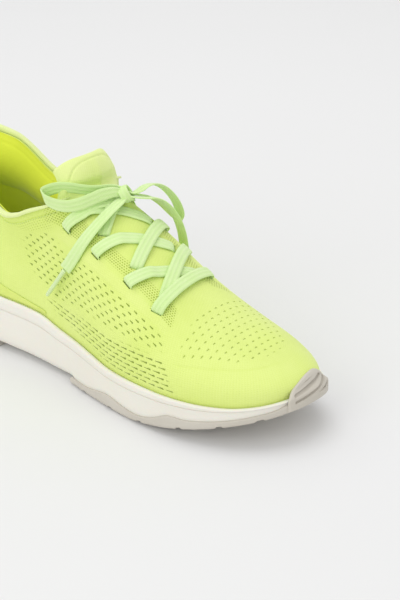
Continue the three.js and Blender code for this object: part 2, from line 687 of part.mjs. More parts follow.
function buildCord(name) {
  const { points, widths } = CORDS[name];
  const route = new THREE.CatmullRomCurve3(points.map((point) => V(...point)), false, 'centripetal');
  const steps = Math.ceil(route.getLength() / CORD_STEP);
  const places = route.getSpacedPoints(steps);
  const axes = places.map((_, i) => {
    const along = route.getTangentAt(i / steps);
    const across = V(...widths[0]).lerp(V(...widths[1]), i / steps);
    return across.addScaledVector(along, -along.dot(across));
  });
  return ribbon(places, axes, LACE_WIDTH, LACE_THICK);
}

// The stiff tip on a lace end: a slim tapering tube, a little past the end of the lace.
const AGLET_LENGTH = 22;

function buildAglet(name) {
  const { points } = CORDS[name];
  const end = V(...points[points.length - 1]);
  const along = end.clone().sub(V(...points[points.length - 2])).normalize();
  const profile = [[0, 0], [1.7, 0], [2, 1.5], [1.9, AGLET_LENGTH - 3], [1.4, AGLET_LENGTH - 0.6],
    [0, AGLET_LENGTH]].map(([x, y]) => new THREE.Vector2(x, y));
  const geometry = new THREE.LatheGeometry(profile, 12);
  const turn = new THREE.Quaternion().setFromUnitVectors(V(0, 1, 0), along);
  const placed = new THREE.Matrix4().compose(end.addScaledVector(along, GAP), turn, V(1, 1, 1));
  return geometry.applyMatrix4(placed);
}

// The knot: a squat rounded lump, wider across the shoe than along it.
function buildKnot() {
  const grid = range(0, 1, 12).map((a) => range(0, 1, 8).map((b) => {
    const turn = a * 2 * Math.PI;
    const rise = (b - 0.5) * Math.PI;
    const flat = Math.cos(rise);
    const point = V(5.2 * flat * Math.cos(turn), 5.6 * flat * Math.sin(turn), 3.9 * Math.sin(rise));
    return point.applyAxisAngle(V(0, 1, 0), 0.4).add(KNOT_CENTRE);
  }));
  return closedGrid(grid);
}

// ---------------------------------------------------------------- upper pieces
function buildKnitUpper() {
  const solid = patch(AROUND, () => ROWS, depthOf(0), depthOf(KNIT));
  return cutAll(solid, [...slitCutters('outer'), ...slitCutters('inner')]);
}

const COLLAR_LOW = 0.6;
const COLLAR_HIGH = 0.95;
const UNDER_KNIT = KNIT + GAP;

// Foam thickness: full in the middle of a pad, thinning towards its top and bottom edges.
function foamThickness(v) {
  const share = clamp((v - COLLAR_LOW) / (COLLAR_HIGH - COLLAR_LOW), 0, 1);
  return 1.4 + 4.4 * Math.sin(Math.PI * share) ** 0.8;
}

function buildCollarFoam(from, to) {
  return patch(gridBetween(from, to), () => rowsBetween(COLLAR_LOW, COLLAR_HIGH),
    depthOf(UNDER_KNIT), (p, v) => UNDER_KNIT + foamThickness(v));
}

function buildCollarLining() {
  const cover = (p, v) => UNDER_KNIT + Math.max(foamThickness(v), 1.4) + GAP;
  return patch(gridBetween(-0.4, 0.4), () => rowsBetween(0.17, COLLAR_HIGH),
    cover, (p, v) => cover(p, v) + 0.7);
}

function buildHeelCounter() {
  return patch(gridBetween(-0.3, 0.3), () => rowsBetween(0.17, 0.52),
    depthOf(UNDER_KNIT), depthOf(UNDER_KNIT + 1.1));
}

function buildToePuff() {
  const ps = HALF_AROUND.filter((p) => p > 0.86);
  const across = [...ps, ...ps.slice(0, -1).reverse().map((p) => -p)];
  return patch(across, () => rowsBetween(0.17, 0.68), depthOf(UNDER_KNIT), depthOf(UNDER_KNIT + 0.8));
}

function buildEyestayTape(side) {
  const ends = [shareAt(116), shareAt(226)];
  const ps = side === 'outer' ? gridBetween(-ends[1], -ends[0]) : gridBetween(ends[0], ends[1]);
  const solid = patch(ps, () => rowsBetween(0.52, 0.89), depthOf(UNDER_KNIT), depthOf(UNDER_KNIT + 0.6));
  return cutAll(solid, slitCutters(side));
}

function buildHeelFilm() {
  const reach = shareAt(116);
  const top = (p) => lerp(0.5, 0.14, smooth(Math.abs(p) / reach));
  return patch(gridBetween(-reach, reach), (p) => range(0.115, top(p), 5), depthOf(-1), depthOf(-0.5));
}

// The edge tape: a rounded band that sits on the rim of the foot opening, all the way round.
function buildCollarBinding() {
  const end = shareAt(OPENING_END);
  const ps = gridBetween(-end, end);
  const section = [[-0.9, 0.25], [-1.5, 1.6], [-0.9, 3.4], [1, 4.3], [3.2, 4.1], [4.6, 2.8], [4.7, 1.2],
    [4, 0.25]];
  const grid = ps.map((p) => {
    const top = upperPoint(p, 1);
    const up = top.clone().sub(upperPoint(p, 0.97)).normalize();
    const s = stationOf(p);
    const upright = V(0, 0, 1);
    const rise = up.lerp(upright, 0.35 + 0.65 * smooth((s - 95) / 30)).normalize();
    const ahead = upperPoint(Math.min(p + 0.004, end), 1);
    const edgeAlong = ahead.sub(upperPoint(Math.max(p - 0.004, -end), 1)).normalize();
    const inward = rise.clone().cross(edgeAlong).normalize();
    const scale = lerp(lerp(1, 0.66, smooth((s - 15) / 35)), 0.4, smooth((s - 96) / 26));
    return [...section, section[0]].map(([x, y]) => top.clone()
      .addScaledVector(inward, scale * x)
      .addScaledVector(rise, Math.max(scale * y, section[0][1])));
  });
  grid[grid.length - 1] = grid[0].map((point) => point.clone());
  return closedGrid(grid);
}

// ---------------------------------------------------------------- tongue
const HINGE = V(125, 4, 100);

// The padded tab above the laces: w runs across from -1 to 1 and h runs up.
function tabPoint(w, h, forward) {
  const half = lerp(23.5, 21, h);
  const rise = 30 * h * (1 - 0.22 * Math.abs(w) ** 4 * h);
  const x = HINGE.x - 3 - 5.5 * h - 8 * w * w + forward;
  return V(x, HINGE.y + half * w, HINGE.z + 1.2 + rise);
}

function buildTongueTab() {
  const ws = range(-1, 1, 12);
  const hs = range(0, 1, 7);
  const pad = (w, h) => 1.5 + 2.4 * (1 - w ** 4) * Math.sin(Math.PI * clamp(0.12 + h * 0.8, 0, 1));
  const front = ws.map((w) => hs.map((h) => tabPoint(w, h, pad(w, h))));
  const back = ws.map((w) => hs.map((h) => tabPoint(w, h, -pad(w, h))));
  return shell(front, back);
}

// The pad beneath the laces follows the inside of the instep, from the ankle to the vamp.
function buildTonguePad() {
  const shares = range(shareAt(153), shareAt(212), 10);
  const across = [-1, -0.8, -0.55, -0.3, 0, 0.3, 0.55, 0.8, 1];
  const face = (depth) => shares.map((q) => across.map((w) => {
    const side = w < 0 ? -1 : 1;
    return beneath(side * q, 1 - 0.3 * Math.abs(w), depth(w));
  }));
  return shell(face(() => 7), face((w) => 8.4 + 2.4 * (1 - w ** 4)));
}

// ---------------------------------------------------------------- materials
const fabric = (color, roughness) => ({ color, roughness, metalness: 0 });
const LOOKS = {
  knit: fabric(0xdff07c, 0.85),
  binding: fabric(0xe3ee9c, 0.8),
  lining: fabric(0xc5d63c, 0.9),
  foam: fabric(0xe9e7d2, 0.95),
  film: fabric(0xd6e66e, 0.35),
  tape: fabric(0xd9e88a, 0.7),
  board: fabric(0xd8d4c6, 0.9),
  lace: fabric(0xd9f2ae, 0.75),
  aglet: fabric(0xd6efaa, 0.3),
  midsole: fabric(0xe3e0d8, 0.7),
  rubber: fabric(0xbcb8ad, 0.75),
  counter: fabric(0xf0efe6, 0.6),
};

const shoe = new THREE.Group();
shoe.position.set(-(LENGTH + SHIELD_PROUD) / 2, SIDE_SHIFT, 0);

function add(name, look, geometry) {
  const mesh = new THREE.Mesh(geometry, new THREE.MeshStandardMaterial(LOOKS[look]));
  mesh.name = name;
  shoe.add(mesh);
}

// ---------------------------------------------------------------- the assembly
add('midsole', 'midsole', buildMidsole());
add('outsole_forefoot', 'rubber', buildForefootOutsole());
add('outsole_heel_lateral', 'rubber', buildHeelPad(-1));
add('outsole_heel_medial', 'rubber', buildHeelPad(1));
add('strobel_board', 'board', bedSheet(KNIT_INSET + KNIT + 1, GAP, STROBEL));
add('sockliner', 'foam', bedSheet(KNIT_INSET + KNIT + 3.6, STROBEL + 2 * GAP, SOCKLINER));
add('sockliner_cloth', 'lining', bedSheet(KNIT_INSET + KNIT + 3.6, STROBEL + SOCKLINER + 3 * GAP, TOP_CLOTH));

add('knit_upper', 'knit', buildKnitUpper());
add('heel_film', 'film', buildHeelFilm());
add('heel_counter', 'counter', buildHeelCounter());
add('toe_puff', 'counter', buildToePuff());
add('eyestay_tape_lateral', 'tape', buildEyestayTape('outer'));
add('eyestay_tape_medial', 'tape', buildEyestayTape('inner'));
add('collar_foam_lateral', 'foam', buildCollarFoam(-0.4, -0.075));
add('collar_foam_medial', 'foam', buildCollarFoam(0.075, 0.4));
add('achilles_pad', 'foam', buildCollarFoam(-0.068, 0.068));
add('collar_lining', 'lining', buildCollarLining());
add('collar_binding', 'binding', buildCollarBinding());

add('tongue_pad', 'knit', buildTonguePad());
add('tongue_tab', 'knit', buildTongueTab());

add('lace', 'lace', buildLace());
add('bow_knot', 'lace', buildKnot());
Object.keys(CORDS).forEach((name) => add(name, 'lace', buildCord(name)));
add('aglet_lateral', 'aglet', buildAglet('lace_tail_lateral'));
add('aglet_medial', 'aglet', buildAglet('lace_tail_medial'));

export default shoe;
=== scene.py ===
import math

import bmesh
import bpy
import numpy as np
from mathutils import Matrix, Vector
from mathutils.kdtree import KDTree


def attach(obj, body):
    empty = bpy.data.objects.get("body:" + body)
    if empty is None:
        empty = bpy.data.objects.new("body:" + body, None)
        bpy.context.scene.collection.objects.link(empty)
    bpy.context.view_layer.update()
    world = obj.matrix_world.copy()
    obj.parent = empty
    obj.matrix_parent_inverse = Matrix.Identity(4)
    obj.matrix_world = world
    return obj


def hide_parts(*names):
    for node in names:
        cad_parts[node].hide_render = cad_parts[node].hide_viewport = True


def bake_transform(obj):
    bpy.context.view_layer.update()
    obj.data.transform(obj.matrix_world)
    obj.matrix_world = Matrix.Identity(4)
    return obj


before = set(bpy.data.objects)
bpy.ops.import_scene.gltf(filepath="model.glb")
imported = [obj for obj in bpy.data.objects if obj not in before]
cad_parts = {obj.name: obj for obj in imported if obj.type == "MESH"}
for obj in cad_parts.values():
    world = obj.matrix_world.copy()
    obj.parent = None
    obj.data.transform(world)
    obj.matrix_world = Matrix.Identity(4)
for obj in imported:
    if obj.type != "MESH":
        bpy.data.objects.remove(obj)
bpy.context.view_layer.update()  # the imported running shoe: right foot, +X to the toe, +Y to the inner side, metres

# Shapes are worked out in millimetres in a heel-based frame: s (or x) runs forward from the heel.
LENGTH = 294.0           # sole, heel to toe
SIDE_SHIFT = 5.75        # puts the widest points of the sole evenly about y = 0
SHIELD_PROUD = 2.2       # toe shield, out from the sole outline
HEEL_FRAME = np.array([-(LENGTH + SHIELD_PROUD) / 2, SIDE_SHIFT, 0.0])
HEEL_ROUND = 44.0        # length of the round heel end in plan
TOE_ROUND = 74.0         # length of the round toe end in plan
TOE_POWER = 2.3          # fullness of the toe curve
TOE_START = LENGTH - TOE_ROUND
GAP = 0.3                # clearance between touching pieces
TREAD = 3.2              # outsole rubber
FLANGE = 1.5             # outsole rubber where it wraps up the side
FLANGE_OUT = 0.8         # side flange, out from the sole outline
SHIELD_HALF = 0.058      # half of the shield's share of the outline
SHIELD_RISE = 9.0        # how far the shield laps up onto the knit
KNIT_INSET = 3.6         # knit, in from the sole outline
KNIT = 2.0               # knit thickness
OPENING_END = 150.0      # station where the foot opening meets the instep ridge
LACE_WIDTH = 8.0
LACE_THICK = 1.2
LACE_LOW = 0.9           # a lace strip lying on the knit
LACE_HIGH = 2.7          # a strip crossing over another one
LACE_UNDER = -4.8        # the lace beneath the knit
SLIT_STEP = 9.5          # from an outer lace slit to the inner one beside it
MM = 0.001


# ---------------------------------------------------------------- numbers and curves
def smooth(t):
    u = np.clip(t, 0, 1)
    return u * u * (3 - 2 * u)


def lerp(a, b, t):
    return a + (b - a) * t


def unit(a):
    return a / np.maximum(np.linalg.norm(a, axis=-1, keepdims=True), 1e-9)


def vec(x, y, z):
    return np.stack(np.broadcast_arrays(x, y, z), axis=-1).astype(float)


def curve(xs, ys):
    """A monotone cubic curve through the given points, flat beyond both ends."""
    xs, ys = np.array(xs, float), np.array(ys, float)
    h = np.diff(xs)
    d = np.diff(ys) / h
    m = np.zeros(len(xs))
    m[0], m[-1] = d[0], d[-1]
    for i in range(1, len(xs) - 1):
        if d[i - 1] * d[i] > 0:
            w1 = 2 * h[i] + h[i - 1]
            w2 = h[i] + 2 * h[i - 1]
            m[i] = (w1 + w2) / (w1 / d[i - 1] + w2 / d[i])

    def at(value):
        x = np.clip(value, xs[0], xs[-1])
        i = np.clip(np.searchsorted(xs, x) - 1, 0, len(h) - 1)
        t = (x - xs[i]) / h[i]
        a = (1 + 2 * t) * (1 - t) ** 2 * ys[i] + t * t * (3 - 2 * t) * ys[i + 1]
        return a + h[i] * (t * (1 - t) ** 2 * m[i] + t * t * (t - 1) * m[i + 1])

    return at


# ---------------------------------------------------------------- profiles along the shoe
SOLE_STATIONS = [0, 50, 100, 130, 160, 200, 230, 260, 300]
TOP_STATIONS = [0, 20, 50, 79, 100, 118, 135, 150, 175, 200, 225, 250, 275, 300]
outer_half = curve(SOLE_STATIONS, [39, 40, 37, 38, 43.7, 50.4, 52.3, 52.3, 52.3])
inner_half = curve(SOLE_STATIONS, [39, 40, 37, 37, 39.5, 42.5, 42.5, 40.5, 35])
middle = curve([0, 60, 100, 130, 160, 200, 240, 270, 300],
               [1.2, .2, -1.3, -2.3, -2.8, -2.3, .2, 2.5, 4.2])
rim_height = curve([0, 40, 77, 110, 133, 154, 182, 218, 245, 264, 281, 292, 300],
                   [45, 41, 37.5, 36.3, 31, 29, 24.6, 24, 23.6, 23.9, 25.7, 27.9, 29.4])
bed_height = curve([0, 60, 110, 150, 200, 235, 262, 280, 294],
                   [31, 27, 24, 19.5, 14.5, 15.5, 18.8, 22.2, 25.2])
arch_drop = curve([0, 72, 84, 110, 128, 136, 143, 300], [0, 0, 0.6, 1.2, 1.6, 1.5, 0, 0])
flange_height = curve([140, 158, 180, 196, 209, 220, 230, 242, 256, 272, 290],
                      [4, 4.6, 8, 5.8, 4.5, 5.9, 8.5, 6.2, 5, 4.3, 4.4])
top_x = curve(TOP_STATIONS, [6, 13, 44, 77, 97, 115, 124, 129, 152, 177, 202, 225, 244, 256])
top_spread = curve(TOP_STATIONS, [20, 20.3, 27, 30, 31, 29, 16, 0, 0, 0, 0, 0, 0, 0])
opening_height = curve([0, 20, 38, 50, 62, 79, 90, 100, 110, 118, 135, 150],
                       [122.5, 120.5, 116, 107.5, 98, 89.5, 92, 96.6, 101.4, 104.8, 110, 111.5])
ridge_height = curve([120, 129, 140, 160, 180, 200, 220, 240, 260, 280],
                     [114, 111.5, 107.5, 98, 85, 72.5, 62, 54, 47.5, 41])
ridge_side = curve([0, 80, 130, 200, 262], [3, 3, 4, 0, 3])


def ridge_slope(x):
    return (ridge_height(x + 1) - ridge_height(x - 1)) / 2


def ground_clearance(s):
    return 22.4 * np.clip((s - 200) / 100, 0, 1) ** 1.4 + 4.5 * np.clip((22 - s) / 22, 0, 1) ** 2


def midsole_bottom(s):
    return ground_clearance(s) + TREAD + 2 * GAP - arch_drop(s)


# ---------------------------------------------------------------- the sole outline
# p runs round the outline: 0 is the heel, 1 (or -1) the toe, positive on the inner side.
HEEL_SHARE = 0.16
TOE_SHARE = 0.74


def station(q):
    """Station and share of the full half width at a share q of the way round."""
    q = np.asarray(q, float)
    heel = np.clip(q / HEEL_SHARE, 0, 1) * math.pi / 2
    toe = np.clip((q - TOE_SHARE) / (1 - TOE_SHARE), 0, 1) * math.pi / 2
    flat = lerp(HEEL_ROUND, TOE_START, (q - HEEL_SHARE) / (TOE_SHARE - HEEL_SHARE))
    s = np.where(q < HEEL_SHARE, HEEL_ROUND * (1 - np.cos(heel)), flat)
    s = np.where(q > TOE_SHARE, TOE_START + TOE_ROUND * np.sin(toe) ** (2 / TOE_POWER), s)
    width = np.where(q < HEEL_SHARE, np.sin(heel), 1.0)
    width = np.where(q > TOE_SHARE, np.maximum(np.cos(toe), 0) ** (2 / TOE_POWER), width)
    return s, width


def share_at(s):
    if s < HEEL_ROUND:
        return HEEL_SHARE * math.acos(1 - s / HEEL_ROUND) / (math.pi / 2)
    if s > TOE_START:
        turn = math.asin(min((s - TOE_START) / TOE_ROUND, 1) ** (TOE_POWER / 2))
        return TOE_SHARE + (1 - TOE_SHARE) * turn / (math.pi / 2)
    return HEEL_SHARE + (TOE_SHARE - HEEL_SHARE) * (s - HEEL_ROUND) / (TOE_START - HEEL_ROUND)


def wrap(p):
    return np.where(p > 1, p - 2, np.where(p < -1, p + 2, p))


def station_of(p):
    return station(np.abs(wrap(p)))[0]


def outline_edge(p):
    w = wrap(p)
    s, width = station(np.abs(w))
    half = np.where(w < 0, -outer_half(s), inner_half(s))
    return vec(s, middle(s) + half * width, 0)


def outline(p, inset):
    """A point on the sole outline, moved towards the middle of the shoe by inset."""
    along = unit(outline_edge(p + 0.001) - outline_edge(p - 0.001))
    inward = vec(along[..., 1], -along[..., 0], 0)
    return outline_edge(p) + inward * np.asarray(inset, float)[..., None]


# ---------------------------------------------------------------- the outer face of the upper
# v runs up a rib of the upper: 0 inside the sole cup, CUP_SHARE at the cup's rim, 1 at the top.
CUP_SHARE = 0.1


def rib(p):
    w = wrap(p)
    side = np.where(w < 0, -1.0, 1.0)
    s = station_of(w)
    foot = outline(w, KNIT_INSET)
    foot[..., 2] = rim_height(s)
    outward = outline(w, KNIT_INSET - 1) - outline(w, KNIT_INSET)
    x = top_x(s)
    heel_turn = np.sqrt(1 - (1 - np.clip(s / HEEL_ROUND, 0, 1)) ** 2)
    height = np.where(s < OPENING_END, opening_height(s), ridge_height(x))
    top = vec(x, ridge_side(x) + side * top_spread(s) * heel_turn, height)
    rise = (top - foot)[..., 2]
    flat = (foot - top) * np.array([1, 1, 0])
    front = smooth((s - 105) / 45)
    heel = np.clip(1 - s / 60, 0, 1) ** 1.2
    low = foot + outward * (2 + 3 * heel + 2 * front)[..., None]
    low[..., 2] += rise * (0.36 + 0.14 * front)
    wall = outward * (-3 - 11 * heel)[..., None]
    wall[..., 2] -= rise * 0.4
    bulge = np.where(side > 0, 0.07 * np.clip(1 - np.abs(s - 175) / 55, 0, 1), 0)
    over = flat * (0.58 + bulge + 0.1 * smooth((s - 240) / 30))[..., None]
    over[..., 2] = ridge_slope(x) * over[..., 0] * smooth((s - 116) / 34)
    high = top + wall * (1 - front)[..., None] + over * front[..., None]
    return foot, low, high, top


def upper_point(p, v):
    p, v = np.broadcast_arrays(np.asarray(p, float), np.asarray(v, float))
    a, b, c, d = rib(p)
    t = np.clip((v - CUP_SHARE) / (1 - CUP_SHARE), 0, 1)[..., None]
    point = a * (1 - t) ** 3 + 3 * b * t * (1 - t) ** 2 + 3 * c * t * t * (1 - t) + d * t ** 3
    s = station_of(p)
    depth = rim_height(s) - bed_height(s) - GAP
    point[..., 2] -= depth * np.clip((CUP_SHARE - v) / CUP_SHARE, 0, 1)
    return point


def upper_normal(p, v):
    p, v = np.broadcast_arrays(np.asarray(p, float), np.asarray(v, float))
    step = 0.002
    around = upper_point(p + step, v) - upper_point(p - step, v)
    up = upper_point(p, np.minimum(v + step, 1)) - upper_point(p, np.maximum(v - step, 0))
    normal = unit(np.cross(up, around))
    s = station_of(p)
    slope = ridge_slope(top_x(s))
    ridge = unit(vec(-slope, 0 * slope, 1))
    share = smooth((v - 0.93) / 0.07) * (s >= OPENING_END - 1e-6)
    return unit(lerp(normal, ridge, share[..., None]))


def beneath(p, v, depth):
    """A point at a depth beneath the outer face; a negative depth stands proud of it."""
    return upper_point(p, v) - upper_normal(p, v) * np.asarray(depth, float)[..., None]


# ---------------------------------------------------------------- meshes from grids
class Build:
    """Collects grids of points into one mesh, with a UV pair and named values for each point."""

    def __init__(self):
        self.points, self.uvs, self.faces, self.values = [], [], [], {}
        self.count = 0

    def add_points(self, points, uv, values):
        points = np.asarray(points, float).reshape(-1, 3)
        self.points.append(points)
        self.uvs.append(np.zeros((len(points), 2)) if uv is None else np.asarray(uv, float).reshape(-1, 2))
        for key, value in values.items():
            flat = np.broadcast_to(value, len(points)) if np.ndim(value) == 0 else np.ravel(value)
            self.values.setdefault(key, []).append((self.count, flat))
        first = self.count
        self.count += len(points)
        return first

    def grid(self, points, uv=None, flip=False, **values):
        """Quads between neighbouring points of a grid."""
        rows, columns = points.shape[:2]
        first = self.add_points(points, uv, values)
        index = first + np.arange(rows * columns).reshape(rows, columns)
        quads = np.stack([index[:-1, :-1], index[1:, :-1], index[1:, 1:], index[:-1, 1:]], axis=-1)
        quads = quads.reshape(-1, 4)
        self.faces.extend((quads[:, ::-1] if flip else quads).tolist())
        return index

    def finish(self, name, body, slot, material, replaces=(), sharp=50.0):
        points = (np.concatenate(self.points) + HEEL_FRAME) * MM
        mesh = bpy.data.meshes.new(name)
        mesh.from_pydata(points.tolist(), [], self.faces)
        layer = mesh.uv_layers.new(name="UVMap")
        loops = np.zeros(len(mesh.loops), np.int32)
        mesh.loops.foreach_get("vertex_index", loops)
        layer.data.foreach_set("uv", (np.concatenate(self.uvs)[loops] * MM).astype(np.float32).ravel())
        for key, parts in self.values.items():
            full = np.zeros(self.count, np.float32)
            for first, part in parts:
                full[first:first + len(part)] = part
            mesh.attributes.new(key, "FLOAT", "CORNER").data.foreach_set("value", full[loops])
        clean(mesh)
        mesh.set_sharp_from_angle(angle=math.radians(sharp))
        piece = bpy.data.objects.new(f"{name}_detail", mesh)
        bpy.context.scene.collection.objects.link(piece)
        piece.data.materials.append(material)
        if isinstance(body, str):
            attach(piece, body)
        else:
            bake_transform(piece)
        if replaces:
            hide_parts(*replaces)
        return piece


def clean(mesh):
    """Welds points that meet, drops empty faces and turns all faces outward."""
    work = bmesh.new()
    work.from_mesh(mesh)
    bmesh.ops.remove_doubles(work, verts=work.verts, dist=4e-6)
    bmesh.ops.dissolve_degenerate(work, edges=work.edges, dist=1e-6)
    bmesh.ops.recalc_face_normals(work, faces=work.faces)
    for face in work.faces:
        face.smooth = True
    work.to_mesh(mesh)
    work.free()
    mesh.update()


def edge_strip(build, a, b):
    """Quads between two matching rows of points."""
    build.grid(np.stack([a, b], axis=1))


def closed_shell(build, outer, inner, uv=None, **values):
    """Two matching grids joined along all four borders."""
    build.grid(outer, uv, **values)
    build.grid(inner, uv, flip=True)
    for border in ((0, slice(None)), (-1, slice(None)), (slice(None), 0), (slice(None), -1)):
        edge_strip(build, outer[border], inner[border])


def arc_lengths(points, axis):
    """Running length along one axis of a grid of points."""
    steps = np.linalg.norm(np.diff(points, axis=axis), axis=-1)
    zero = np.zeros_like(np.take(steps, [0], axis=axis))
    return np.concatenate([zero, np.cumsum(steps, axis=axis)], axis=axis)


def surface_uv(grid):
    """Running lengths along both axes of a grid, as its UV map."""
    return np.stack([arc_lengths(grid, 0), arc_lengths(grid, 1)], axis=-1)


def resample(points, step, *others):
    """Points at even distances along a line, with any other rows of numbers carried along."""
    run = np.concatenate([[0], np.cumsum(np.linalg.norm(np.diff(points, axis=0), axis=1))])
    spots = np.linspace(0, run[-1], max(int(math.ceil(run[-1] / step)), 2) + 1)
    return [np.stack([np.interp(spots, run, column) for column in rows.T], axis=1)
            for rows in (points, *others)]


def soften(points, passes):
    """Rounds the corners of a line; its two ends stay where they are."""
    points = points.copy()
    for _ in range(passes):
        points[1:-1] = points[1:-1] * 0.5 + (points[:-2] + points[2:]) * 0.25
    return points


def spline(points, per=10):
    """A centripetal Catmull-Rom curve through the points."""
    points = np.array(points, float)
    ends = [2 * points[0] - points[1], *points, 2 * points[-1] - points[-2]]
    made = []
    for p0, p1, p2, p3 in zip(ends, ends[1:], ends[2:], ends[3:]):
        t1 = np.linalg.norm(p1 - p0) ** 0.5
        t2 = t1 + np.linalg.norm(p2 - p1) ** 0.5
        t3 = t2 + np.linalg.norm(p3 - p2) ** 0.5
        for t in np.linspace(t1, t2, per, endpoint=False):
            a1 = p0 * (t1 - t) / t1 + p1 * t / t1
            a2 = p1 * (t2 - t) / (t2 - t1) + p2 * (t - t1) / (t2 - t1)
            a3 = p2 * (t3 - t) / (t3 - t2) + p3 * (t - t2) / (t3 - t2)
            b1 = a1 * (t2 - t) / t2 + a2 * t / t2
            b2 = a2 * (t3 - t) / (t3 - t1) + a3 * (t - t1) / (t3 - t1)
            made.append(b1 * (t2 - t) / (t2 - t1) + b2 * (t - t1) / (t2 - t1))
    made.append(points[-1])
    return np.array(made)


# ---------------------------------------------------------------- repeated dash patterns
def dash_mask(u, v, look):
    """1 inside the dashes of a staggered pattern, 0 outside; u runs along the rows."""
    pitch_u, pitch_v, half, thin, thick, soft = look
    row = np.floor(v / pitch_v)
    cu = (np.mod(u / pitch_u + 0.5 * np.mod(row, 2), 1) - 0.5) * pitch_u
    cv = (np.mod(v / pitch_v, 1) - 0.5) * pitch_v
    far = np.hypot(np.maximum(np.abs(cu) - half, 0), cv)
    share = np.clip(cu / half * 0.5 + 0.5, 0, 1) ** 2
    return smooth((lerp(thin, thick, share) - far + soft) / (2 * soft))


# pitch along, pitch across, half length, radius at the thin end, radius at the thick end, edge
LOW_DASHES = (7.2, 3.0, 2.3, 0.1, 0.5, 0.2)
HIGH_DASHES = (7.0, 3.5, 1.0, 0.26, 0.5, 0.2)
TOE_DASHES = (5.5, 4.7, 0.6, 0.2, 0.42, 0.2)
EYELET_DOTS = (1.75, 1.6, 0.12, 0.36, 0.36, 0.2)
COLLAR_DOTS = (2.0, 1.6, 0.1, 0.28, 0.28, 0.2)
# mask, row direction, direction across the rows, sizes, relief in millimetres, colour of the painted shade in the
# holes
PATTERNS = [
    ("low_dashes", "forward", "up", LOW_DASHES, 0.35, (0.36, 0.42, 0.1)),
    ("high_dashes", "forward", "climb", HIGH_DASHES, 0.4, (0.42, 0.5, 0.12)),
    ("toe_dashes", "side", "forward", TOE_DASHES, 0.3, (0.62, 0.68, 0.3)),
    ("eyelet_dots", "forward", "climb", EYELET_DOTS, 0.2, (0.55, 0.6, 0.2)),
    ("collar_dots", "along", "drop", COLLAR_DOTS, 0.12, (0.72, 0.76, 0.4)),
]


